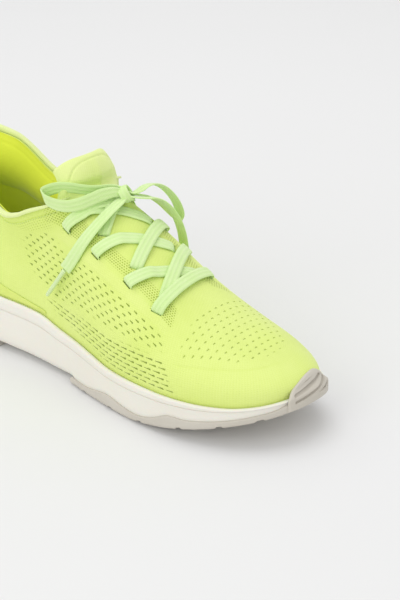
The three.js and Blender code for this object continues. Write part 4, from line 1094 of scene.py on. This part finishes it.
def cut_slits(piece):
    """Cuts the sixteen lace slits through the knit."""
    cutters = bmesh.new()
    for side in ("outer", "inner"):
        for row in range(4):
            outer = (SLITS[side][row], outer_slit_far(side, row))
            inner = (inner_slit(side, row), inner_slit_far(side, row))
            for place, far in (outer, inner):
                point, normal = on_vamp(place[0], place[1], -2)
                along = slit_axis(place, far, normal)
                axes = Matrix((along, np.cross(normal, along), normal)).transposed().to_4x4()
                size = Matrix.Diagonal(((LACE_WIDTH + 1.2) * MM, (LACE_THICK + 1.4) * MM, 12 * MM, 1))
                place_matrix = Matrix.Translation(to_row(point)) @ axes @ size
                made = bmesh.ops.create_cube(cutters, size=1, matrix=place_matrix)
                edges = {e for vertex in made["verts"] for e in vertex.link_edges}
                upright = [e for e in edges if leans_along(e, normal)]
                bmesh.ops.bevel(cutters, geom=upright, offset=1.1 * MM, segments=4, affect="EDGES")
    mesh = bpy.data.meshes.new("slit_cutters")
    cutters.to_mesh(mesh)
    cutters.free()
    tool = bpy.data.objects.new("slit_cutters", mesh)
    bpy.context.scene.collection.objects.link(tool)
    modifier = piece.modifiers.new("slits", "BOOLEAN")
    modifier.operation = "DIFFERENCE"
    modifier.solver = "EXACT"
    modifier.object = tool
    bpy.context.view_layer.update()
    ready = bpy.data.meshes.new_from_object(piece.evaluated_get(bpy.context.evaluated_depsgraph_get()))
    piece.modifiers.clear()
    piece.data = ready
    bpy.data.objects.remove(tool)
    ready.set_sharp_from_angle(angle=math.radians(55))


def make_knit():
    build, ps, vs = make_knit_upper()
    knit_inside(build, ps, vs)
    piece = build.finish("knit_upper", "shoe", "knit", knit, ["knit_upper"], sharp=65)
    cut_slits(piece)
    return piece


make_knit()


# ---------------------------------------------------------------- layers of the upper
def patch(name, slot, material, p_range, v_range, outer, inner, counts):
    """A closed layer of the upper between two depths; v_range and the depths may depend on p and v."""
    ps = np.linspace(*p_range, counts[0])
    rows = np.linspace(0, 1, counts[1])
    p, share = np.meshgrid(ps, rows, indexing="ij")
    low, high = v_range(p)
    v = lerp(low, high, share)
    top, bottom = beneath(p, v, outer(p, v, share)), beneath(p, v, inner(p, v, share))
    uv = surface_uv(top) + 30
    build = Build()
    closed_shell(build, top, bottom, uv)
    return build.finish(name, "shoe", slot, material, [name], sharp=60)


def between(low, high):
    return lambda p: (np.full(p.shape, low), np.full(p.shape, high))


def depth(value):
    return lambda p, v, share: np.full(p.shape, value)


COLLAR_LOW, COLLAR_HIGH = 0.6, 0.95
UNDER_KNIT = KNIT + GAP


def foam_thickness(v):
    share = np.clip((v - COLLAR_LOW) / (COLLAR_HIGH - COLLAR_LOW), 0, 1)
    return 1.4 + 4.4 * np.sin(math.pi * share) ** 0.8


def make_collar():
    for name, p_range in (("collar_foam_lateral", (-0.4, -0.075)), ("collar_foam_medial", (0.075, 0.4)),
                          ("achilles_pad", (-0.068, 0.068))):
        def crown(p, v, share, ends=p_range):
            across = (p - ends[0]) / (ends[1] - ends[0])
            return UNDER_KNIT + foam_thickness(v) * (0.7 + 0.3 * np.sin(math.pi * across) ** 0.5)
        pad = patch(name, "soft_foam", soft_foam, p_range, between(COLLAR_LOW, COLLAR_HIGH),
                    depth(UNDER_KNIT), crown, (60, 24))

    def cover(p, v, share):
        fold = np.exp(-((np.abs(p) - 0.0715) / 0.004) ** 2) * smooth((v - 0.58) / 0.08)
        fold = fold * smooth((0.97 - v) / 0.04)
        pull = 1.5 * smooth((v - COLLAR_HIGH) / (1 - COLLAR_HIGH))
        return UNDER_KNIT + foam_thickness(v) + GAP - pull - 2.2 * fold

    def inner_cover(p, v, share):
        return cover(p, v, share) + 0.8
    patch("collar_lining", "lining_cloth", lining_cloth, (-0.4, 0.4), between(0.18, 1.0),
          cover, inner_cover, (320, 100))
    patch("heel_counter", "stiffener", stiffener, (-0.3, 0.3), between(0.18, 0.51),
          depth(UNDER_KNIT), depth(UNDER_KNIT + 1.1), (100, 20))
    reach = share_at(116)

    def film_rows(p):
        return np.full(p.shape, 0.115), lerp(0.5, 0.14, smooth(np.abs(p) / reach))

    def film_top(p, v, share):
        rim = np.minimum(smooth(share / 0.04), smooth((1 - share) / 0.04))
        return -0.42 - 0.3 * (rim * smooth((reach - np.abs(p)) / 0.008))
    patch("heel_film", "film", film, (-reach, reach), film_rows, film_top, depth(-0.28), (220, 60))


def make_toe_puff():
    ps = np.concatenate([np.linspace(0.86, 1, 40), np.linspace(-1, -0.86, 40)[1:]])
    p, v = np.meshgrid(ps, np.linspace(0.18, 0.6, 24), indexing="ij")
    build = Build()
    closed_shell(build, beneath(p, v, UNDER_KNIT), beneath(p, v, UNDER_KNIT + 0.8))
    return build.finish("toe_puff", "shoe", "stiffener", stiffener, ["toe_puff"])


make_collar()
make_toe_puff()


# ---------------------------------------------------------------- ribbed edge tape round the opening
BINDING_SECTION = [(-0.9, 0.25), (-1.5, 1.6), (-0.9, 3.4), (1, 4.3), (3.2, 4.1), (4.6, 2.8),
                   (4.7, 1.2), (4, 0.25)]


def make_binding():
    end = share_at(OPENING_END)
    ps = np.concatenate([-np.linspace(0, end, 330)[:0:-1], np.linspace(0, end, 330)])
    top = upper_point(ps, 1.0)
    up = unit(top - upper_point(ps, 0.97))
    s = station_of(ps)
    upright = np.array([0, 0, 1.0])
    rise = unit(lerp(up, upright, (0.35 + 0.65 * smooth((s - 95) / 30))[:, None]))
    ahead = upper_point(np.minimum(ps + 0.004, end), 1.0)
    behind = upper_point(np.maximum(ps - 0.004, -end), 1.0)
    inward = unit(np.cross(rise, unit(ahead - behind)))
    scale = lerp(lerp(1, 0.66, smooth((s - 15) / 35)), 0.4, smooth((s - 96) / 26))
    scale *= 1 - 0.62 * smooth((s - 124) / 8)
    corners = np.array(BINDING_SECTION, float)
    ring = np.array([*corners[2:], *corners[:2]])
    closed = spline(np.array([[x, y, 0] for x, y in [*ring, *ring, *ring]]), 5)
    section = closed[len(ring) * 5:2 * len(ring) * 5 + 1, :2]
    run = arc_lengths(top[:, None], 0)[:, 0]
    ribs = 1 + 0.035 * np.sin(run * 2 * math.pi / 1.9)
    centre = np.array([1.6, 2.1])
    shape = centre + (section - centre)[None] * ribs[:, None, None]
    x = scale[:, None] * shape[..., 0]
    y = np.maximum(scale[:, None] * shape[..., 1], 0.22)
    grid = top[:, None] + inward[:, None] * x[..., None] + rise[:, None] * y[..., None]
    around = arc_lengths(np.concatenate([section, np.zeros((len(section), 1))], axis=1)[None], 1)[0]
    uv = np.stack(np.broadcast_arrays(run[:, None], around[None]), axis=-1)
    build = Build()
    build.grid(grid, uv)
    return build.finish("collar_binding", "shoe", "binding", binding, ["collar_binding"], sharp=70)


make_binding()


# ---------------------------------------------------------------- stitches
def stitch_row(build, points, normals, pitch=2.6, length=1.9, radius=0.28):
    """Small rounded thread stitches along a line on a surface."""
    points, normals = resample(points, pitch, normals)
    along = unit(np.gradient(points, axis=0))
    across = unit(np.cross(normals, along))
    up = np.cross(along, across)
    turn = np.linspace(0, 2 * math.pi, 9)
    uv = np.stack(np.meshgrid(np.linspace(0, length, 7), turn, indexing="ij"), axis=-1)
    for centre, a, b, c in zip(points[1:-1], along[1:-1], across[1:-1], up[1:-1]):
        rings = []
        for t in np.linspace(-1, 1, 7):
            r = radius * math.sqrt(max(1 - t * t, 0.0))
            middle_point = centre + a * (t * length / 2) - c * (t * t * radius * 1.2)
            rings.append(middle_point + b * (np.cos(turn) * r)[:, None] + c * (np.sin(turn) * r)[:, None])
        build.grid(np.array(rings), uv)


def make_collar_stitches():
    build = Build()
    end = share_at(OPENING_END - 12)
    ps = np.linspace(-end, end, 500)
    length = np.linalg.norm(upper_point(ps, 1.0) - upper_point(ps, 0.9), axis=1)
    v = 1 - 0.1 * 5.0 / length
    stitch_row(build, beneath(ps, v, -0.1), upper_normal(ps, v))
    return build.finish("collar_stitching", "shoe", "binding", thread, sharp=80)


make_collar_stitches()


# ---------------------------------------------------------------- tongue
TAB_BEND = ("shoe", "tongue_tab", tuple(to_row((122, 4, 108))), tuple(to_row((118, 4, 122))))
TAB_ROWS = 14            # rows between two of the points that shape a column of the tab


def beside_rim(w, share, away, lift):
    """A point on the upper near the rim, ahead of it in the middle and down the rib at the sides."""
    p = math.copysign(share, w)
    down = beneath(p, 1 - away * 0.01, -lift)
    if abs(w) >= 0.7:
        return down
    rim = upper_point(p, 1.0)
    ahead, _ = on_vamp(rim[0] + away, rim[1] + away * 0.4 * w, lift)
    return lerp(ahead, down, smooth(abs(w) / 0.7))


def tab_middle(ws):
    """The middle surface of the tongue tab: off the vamp, over the rim and up to its broad top."""
    columns = []
    for w in ws:
        share = lerp(share_at(OPENING_END), share_at(121), abs(w))
        round_in = 1 - w * w
        far = beside_rim(w, share, 0.5 + 9.5 * round_in, 0.3 - 2.2 * w ** 6)
        near = beside_rim(w, share, 0.2 + 4.8 * round_in, 0.5 - 2.2 * w ** 6)
        base = upper_point(math.copysign(share, w), 1.0) + [0, -2.4 * w ** 5, 2]
        top = np.array([118 - 8 * w * w, 3.5 + 21 * w, 130.2 - 7 * abs(w) ** 4])
        bulge = np.array([2.2, 0, 1.0]) * (1 - 0.6 * w * w)
        draw_in = np.array([-1.0 * w ** 4, -2.8 * w ** 5, 0])
        low, high = lerp(base, top, 0.35) + bulge + draw_in, lerp(base, top, 0.72) + bulge + draw_in * 0.6
        columns.append(spline([far, near, base, low, high, top], TAB_ROWS))
    return np.array(columns)


def tab_faces(ws):
    """The front and back of the padded tab: crowned, with thin edges and a sewn arc."""
    middle_face = tab_middle(ws)
    along = np.gradient(middle_face, axis=1)
    normal = unit(np.cross(np.gradient(middle_face, axis=0), along))
    row = np.linspace(0, 5, middle_face.shape[1])[None]
    w = ws[:, None]
    rise = np.clip((row - 2) / 3, 0, 1)
    edge = np.minimum((1 - np.abs(w)) * 20, (1 - rise) * 20)
    rounding = np.sqrt(np.clip(1 - (1 - np.clip(edge / 3.0, 0, 1)) ** 2, 0, 1))
    crown = 2.6 * (1 - w ** 4) * smooth((row - 1.9) / 1.1)
    arc = (np.abs(w) / 0.72) ** 3 + (rise / 0.76) ** 3
    groove = np.exp(-((arc - 1) / 0.09) ** 2) * smooth((row - 1.9) / 0.3)
    front = middle_face + normal * (0.3 + crown * rounding - 0.7 * groove)[..., None]
    back = middle_face - normal * (0.2 + crown * 0.7 * rounding)[..., None]
    return front, back, normal


def make_tongue_tab():
    ws = np.sin(np.linspace(-1, 1, 111) * math.pi / 2)
    front, back, normal = tab_faces(ws)
    uv = surface_uv(front) + 20
    build = Build()
    closed_shell(build, front, back, uv)
    tab = build.finish("tongue_tab", TAB_BEND, "tongue_cloth", tongue_cloth, ["tongue_tab"], sharp=80)
    turn = np.linspace(0.02, math.pi - 0.02, 200)
    w = np.sign(np.cos(turn)) * np.abs(np.cos(turn)) ** (2 / 3) * 0.72
    row = 2 + 3 * 0.76 * np.sin(turn) ** (2 / 3)
    i = np.abs(ws[None] - w[:, None]).argmin(axis=1)
    j = np.rint(row / 5 * (front.shape[1] - 1)).astype(int)
    stitches = Build()
    stitch_row(stitches, soften(front[i, j] + normal[i, j] * 0.15, 12), normal[i, j], 2.4, 1.7, 0.24)
    stitches.finish("tongue_stitching", TAB_BEND, "tongue_cloth", thread, sharp=80)


def make_tongue_pad():
    shares = np.linspace(share_at(153), share_at(212), 60)
    across = np.linspace(-1, 1, 61)
    q, w = np.meshgrid(shares, across, indexing="ij")
    p = np.where(w < 0, -q, q)
    v = 1 - 0.3 * np.abs(w)
    ends = np.sin(math.pi * np.clip((q - shares[0]) / (shares[-1] - shares[0]), 0, 1)) ** 0.3
    top = beneath(p, v, 7.0 + 0.4 * (1 - ends))
    bottom = beneath(p, v, 8.4 + 2.4 * (1 - w ** 4) * (0.4 + 0.6 * ends))
    uv = surface_uv(top)
    build = Build()
    closed_shell(build, top, bottom, uv)
    pad = build.finish("tongue_pad", "shoe", "knit", tongue_cloth, ["tongue_pad"])


make_tongue_tab()
make_tongue_pad()


# ---------------------------------------------------------------- sole pieces
def sole_columns(count):
    return np.linspace(-1, 1, count + 1)


def spine_point(p):
    s = np.clip(station_of(p), HEEL_ROUND, TOE_START)
    return vec(s, middle(s) + (inner_half(s) - outer_half(s)) / 2, 0)


def sole_ring(ps, inset, draw, height):
    """One ring of a sole piece: inset from the outline, or drawn in towards the spine."""
    point = lerp(outline(ps, inset), spine_point(ps), draw)
    own = station_of(ps)
    point[..., 2] = height(lerp(own, np.clip(own, HEEL_ROUND, TOE_START), draw))
    return point


def rings_piece(build, rings, **values):
    grid = np.stack(rings, axis=1)
    build.grid(grid, surface_uv(grid), **values)


def make_midsole():
    ps = sole_columns(420)
    s = station_of(ps)
    wall_inset = curve([0, 0.03, 0.08, 0.18, 0.42, 0.66, 0.745, 0.84, 0.93, 0.975, 1],
                       [4.0, 2.9, 1.9, 1.1, 0.9, 0.7, 0.55, 0.05, 0.05, 0.45, 1.3])
    wrapped = smooth((s - 136) / 10)
    shares = np.unique(np.concatenate([np.linspace(0, 0.12, 8), np.linspace(0.12, 0.7, 16),
                                       np.linspace(0.7, 0.8, 13), np.linspace(0.8, 1, 16)]))
    rings = [sole_ring(ps, 4, draw, midsole_bottom) for draw in (1, 0.66, 0.33, 0)]
    groove_shade = [0, 0, 0, 0]
    for share in shares[1:]:
        line = math.exp(-((share - 0.752) / 0.012) ** 2)
        inset = lerp(wall_inset(share) + 0.35 * line, 0.8, wrapped * (1 - smooth((share - 0.3) / 0.25)))
        point = outline(ps, inset)
        point[..., 2] = lerp(midsole_bottom(s), rim_height(s), share)
        rings.append(point)
        # the groove line gets painted shade as well as its inset
        groove_shade.append(line)
    for inset, drop in ((2.2, 0.05), (3.1, 0.6), (KNIT_INSET - GAP, 2.0)):
        rings.append(sole_ring(ps, inset, 0, lambda a, d=drop: rim_height(a) - d))
        groove_shade.append(0)
    for inset, draw, drop in ((KNIT_INSET - GAP, 0, 0), (KNIT_INSET + 4, 0, 0), (KNIT_INSET + 4, 0.5, 0.6),
                              (KNIT_INSET + 4, 1, 0.8)):
        rings.append(sole_ring(ps, inset, draw, lambda a, d=drop: bed_height(a) - d))
        groove_shade.append(0)
    build = Build()
    rings_piece(build, rings, groove=np.broadcast_to(np.array(groove_shade), (len(ps), len(rings))))
    return build.finish("midsole", "shoe", "midsole_foam", midsole_foam, ["midsole"], sharp=42)


make_midsole()


def bed_sheet(name, body, slot, material, lift, thick, inset=9.2, edge=0.0):
    """A flat sheet that fills the outline above the midsole bed, with round edges."""
    ps = sole_columns(240)
    profile = []
    for turn in np.linspace(-math.pi / 2, math.pi / 2, 7):
        rise = lift + thick * (0.5 + 0.5 * math.sin(turn))
        profile.append((inset + (1 - math.cos(turn)) * thick * 0.45, rise))
    curl = [(profile[-1][0] + 5, lift + thick - edge)]
    rings = [sole_ring(ps, inset + 4, draw, lambda a: bed_height(a) + lift) for draw in (1, 0.5, 0)]
    rings += [sole_ring(ps, i, 0, lambda a, z=z: bed_height(a) + z) for i, z in profile + curl]
    rings += [sole_ring(ps, inset + 5, draw, lambda a: bed_height(a) + lift + thick - edge)
              for draw in (0.25, 0.5, 0.75, 1)]
    build = Build()
    rings_piece(build, rings)
    return build.finish(name, body, slot, material, [name], sharp=70)


bed_sheet("strobel_board", "shoe", "board", board, GAP, 1.5, inset=6.6)
bed_sheet("sockliner", "insole", "soft_foam", soft_foam, 2.1, 4.2)
bed_sheet("sockliner_cloth", "insole", "lining_cloth", insole_cloth, 6.6, 0.7, edge=0.1)


GROOVES = [157, 183, 209, 238, 262, 281]
HEEL_GROOVES = [24, 41, 57]
GROOVE_HALF = 1.7        # half width of a tread groove
GROOVE_EDGE = 0.5        # half width of its slanting wall
GROOVE_DEEP = 1.5        # forefoot grooves
HEEL_GROOVE_DEEP = 1.3


def groove_depth(s, stations, deepest):
    depths = np.zeros_like(s)
    for at in stations:
        inside = GROOVE_HALF + GROOVE_EDGE - np.abs(s - at)
        depths = np.maximum(depths, deepest * smooth(inside / (2 * GROOVE_EDGE)))
    return depths


def groove_columns(base, stations):
    """Column shares with extra ones at the edges of each groove."""
    half = GROOVE_HALF
    steps = (-half - 0.6, -half, -half + 0.6, 0, half - 0.6, half, half + 0.6)
    extra = [share_at(at + step) for at in stations for step in steps]
    return np.unique(np.concatenate([base, [e for e in extra if base[0] < e < base[-1]]]))


RISER = 0.035            # share of the outline over which the flange climbs to the toe shield


def make_outsole():
    half = groove_columns(np.linspace(share_at(142), 1, 190), GROOVES)
    ps = np.concatenate([half, (2 - half)[-2::-1]])
    s = station_of(ps)
    q = np.where(ps > 1, 2 - ps, ps)
    ground = ground_clearance(s)
    cut = groove_depth(s, GROOVES, GROOVE_DEEP)
    climb = smooth((q - (1 - SHIELD_HALF - RISER)) / RISER) ** 2 * 0.75
    flange = lerp(flange_height(s), rim_height(s) - ground - 2, climb)

    def side_ring(inset, height):
        point = outline(ps, inset)
        point[..., 2] = ground + height
        return point

    def tread_ring(inset, draw, height):
        point = sole_ring(ps, inset, draw, ground_clearance)
        point[..., 2] += height
        return point

    out, inside = -FLANGE_OUT, FLANGE - FLANGE_OUT
    rings = [side_ring(out + 0.75, flange), side_ring(out + 0.25, flange - 0.12)]
    rings += [side_ring(out, lerp(2.4, flange - 0.6, share)) for share in (1, 0.75, 0.5, 0.25, 0)]
    # round the bottom edge: inset, lowest height, height above the groove's floor
    edge = ((0.12, 1.5, 0.3), (0.5, 0.75, 0.15), (1.2, 0.22, 0.05), (2.2, 0, 0))
    rings += [side_ring(out + inset, np.maximum(least, cut + above)) for inset, least, above in edge]
    rings += [tread_ring(2.5, draw, cut * (1 - 0.5 * smooth((draw - 0.8) / 0.2)))
              for draw in (0.1, 0.2, 0.35, 0.5)]
    rings += [tread_ring(2.5, draw, cut) for draw in (0.65, 0.8, 1)]
    outer = np.stack(rings, axis=1)
    # painted shade on the floors of the tread grooves
    groove_shade = (cut / GROOVE_DEEP)[:, None] * (np.arange(len(rings)) > 9) * 0.7
    inner_rings = [side_ring(inside, flange), side_ring(inside, lerp(TREAD + 0.8, flange, 0.5)),
                   side_ring(inside + 0.3, TREAD + 0.1)]
    inner_rings += [tread_ring(4, draw, TREAD) for draw in (0, 0.5, 1)]
    inner = np.stack(inner_rings, axis=1)
    build = Build()
    build.grid(outer, surface_uv(outer), groove=groove_shade)
    build.grid(inner, flip=True)
    edge_strip(build, outer[:, 0], inner[:, 0])
    edge_strip(build, outer[:, -1], inner[:, -1])
    for end in (0, -1):
        face = [*outer[end], *inner[end][::-1]]
        first = build.add_points(face, None, {})
        build.faces.append(list(range(first, first + len(face))))
    add_shield(build)
    return build.finish("outsole_forefoot", "shoe", "outsole_rubber", rubber, ["outsole_forefoot"], sharp=38)


def rise_to(p, z):
    """The share up a rib at which the upper reaches a height."""
    low, high = np.full(p.shape, CUP_SHARE), np.full(p.shape, 0.6)
    for _ in range(20):
        mid = (low + high) / 2
        under = upper_point(p, mid)[..., 2] < z
        low, high = np.where(under, mid, low), np.where(under, high, mid)
    return low


BAR_PITCH = 3.3          # toe shield bars, up the shield
BAR_LEAN = 3.2           # how much a bar climbs over half the shield
BAR_START = 30.6         # height of one bar at the middle of the toe


def shield_point(p, share, proud):
    s = station_of(p)
    rim = rim_height(s)
    place = (p - 1) / SHIELD_HALF + 0.25
    top = SHIELD_RISE * np.maximum(0, 1 - (place / np.where(place > 0, 1.25, 0.75)) ** 2) ** 0.7
    z = lerp(ground_clearance(s) + 2, rim + top, share)
    proud = np.maximum(proud - 0.9 * smooth((z - rim + 1) / 5), -0.15)
    on_sole = outline(p, -proud)
    on_sole[..., 2] = z
    w = wrap(p)
    v = rise_to(w, z)
    on_knit = upper_point(w, v) + upper_normal(w, v) * (proud + GAP)[..., None]
    return lerp(on_sole, on_knit, smooth((z - rim - 1) / 4)[..., None])


def add_shield(build):
    """The toe shield: a rounded frame round a sunken panel with slanting bars."""
    p, share = np.meshgrid(1 + SHIELD_HALF * np.sin(np.linspace(-1, 1, 121) * math.pi / 2),
                           np.linspace(0, 1, 91), indexing="ij")
    a = (p - 1) / SHIELD_HALF
    side = 1 - np.abs(a)
    rounding = np.clip(np.minimum(side / 0.07, (1 - share) / 0.07), 0, 1)
    rounding = np.sqrt(np.clip(1 - (1 - rounding) ** 2, 0, 1))
    panel = smooth((side - 0.2) / 0.05) * smooth((share - 0.26) / 0.05) * smooth((0.86 - share) / 0.05)
    height = shield_point(p, share, 0.0)[..., 2]
    slant = (height + BAR_LEAN * a - BAR_START) / BAR_PITCH
    bars = smooth((0.5 + 0.5 * np.cos(2 * math.pi * slant) - 0.32) / 0.3)
    sunk = panel * (1 - bars)
    proud = 0.75 + (SHIELD_PROUD - 0.75) * rounding - 1.0 * sunk - 0.15 * panel
    face = shield_point(p, share, proud)
    back = shield_point(p, share, 0.7)
    # the sunken panel between the bars gets painted shade
    closed_shell(build, face, back, surface_uv(face), groove=sunk * 0.5)


def make_heel_pad(name, side):
    half = groove_columns(np.linspace(share_at(5), share_at(70), 90), HEEL_GROOVES)
    s = station_of(half)
    cut = groove_depth(s, HEEL_GROOVES, HEEL_GROOVE_DEEP)

    def ring(inset, height):
        point = outline(side * half, inset)
        point[..., 2] = ground_clearance(point[..., 0]) + height
        return point

    def channel(height):
        edge = outline(side * half, 4.0)
        x = edge[..., 0]
        reach = np.minimum(9, np.abs(edge[..., 1] - middle(x)) * 0.4)
        return vec(x, middle(x) + side * reach, ground_clearance(x) + height)

    outer = np.stack([ring(2.4, TREAD), ring(2.05, TREAD * 0.7),
                      ring(2.0, np.maximum(TREAD * 0.4, cut + 0.2)), ring(2.4, np.maximum(0.4, cut + 0.1)),
                      ring(3.2, cut), lerp(ring(3.2, cut), channel(cut), 0.5), channel(cut)], axis=1)
    inner = np.stack([*(ring(inset, TREAD) for inset in (2.6, 3.3, 4, 5, 6.5, 8)), channel(TREAD)], axis=1)
    # painted shade in the heel tread grooves
    groove_shade = np.broadcast_to((cut / HEEL_GROOVE_DEEP * 0.7)[:, None], outer.shape[:2])
    build = Build()
    closed_shell(build, outer, inner, surface_uv(outer), groove=groove_shade)
    return build.finish(name, "shoe", "outsole_rubber", rubber, [name], sharp=38)


make_outsole()
make_heel_pad("outsole_heel_lateral", -1)
make_heel_pad("outsole_heel_medial", 1)

for tape_name in ("eyestay_tape_lateral", "eyestay_tape_medial"):
    tape_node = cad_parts[tape_name]
    tape_node.data.materials.clear()
    tape_node.data.materials.append(tape)


# ---------------------------------------------------------------- floor and light
def make_floor():
    g = Graph("pale_floor", (0.8, 0.8, 0.8), 0.9)
    g.shade(g.step(g.noise(3, 3), 0.3, 0.8), (0.99, 0.99, 0.99))
    size = 6.0
    mesh = bpy.data.meshes.new("floor")
    mesh.from_pydata([(-size, -size, -0.0003), (size, -size, -0.0003), (size, size, -0.0003),
                      (-size, size, -0.0003)], [], [(0, 1, 2, 3)])
    mesh.materials.append(g.finish())
    floor = bpy.data.objects.new("floor", mesh)
    bpy.context.scene.collection.objects.link(floor)


def area_light(name, place, target, size, power):
    data = bpy.data.lights.new(name, "AREA")
    data.shape = "DISK"
    data.size = size
    data.energy = power
    light = bpy.data.objects.new(name, data)
    light.location = place
    light.rotation_euler = (Vector(target) - Vector(place)).to_track_quat("-Z", "Y").to_euler()
    bpy.context.scene.collection.objects.link(light)


def make_light():
    world = bpy.data.worlds.new("studio")
    world.use_nodes = True
    background = world.node_tree.nodes["Background"]
    background.inputs["Color"].default_value = (1, 1, 1, 1)
    background.inputs["Strength"].default_value = 0.82
    bpy.context.scene.world = world
    area_light("overhead", (-0.3, 0.2, 1.9), (0, 0, 0), 1.5, 9)
    area_light("front_fill", (0.1, -1.8, 1.0), (0, 0, 0.05), 1.4, 8)
    bpy.context.scene.view_settings.view_transform = "Standard"


make_floor()
make_light()
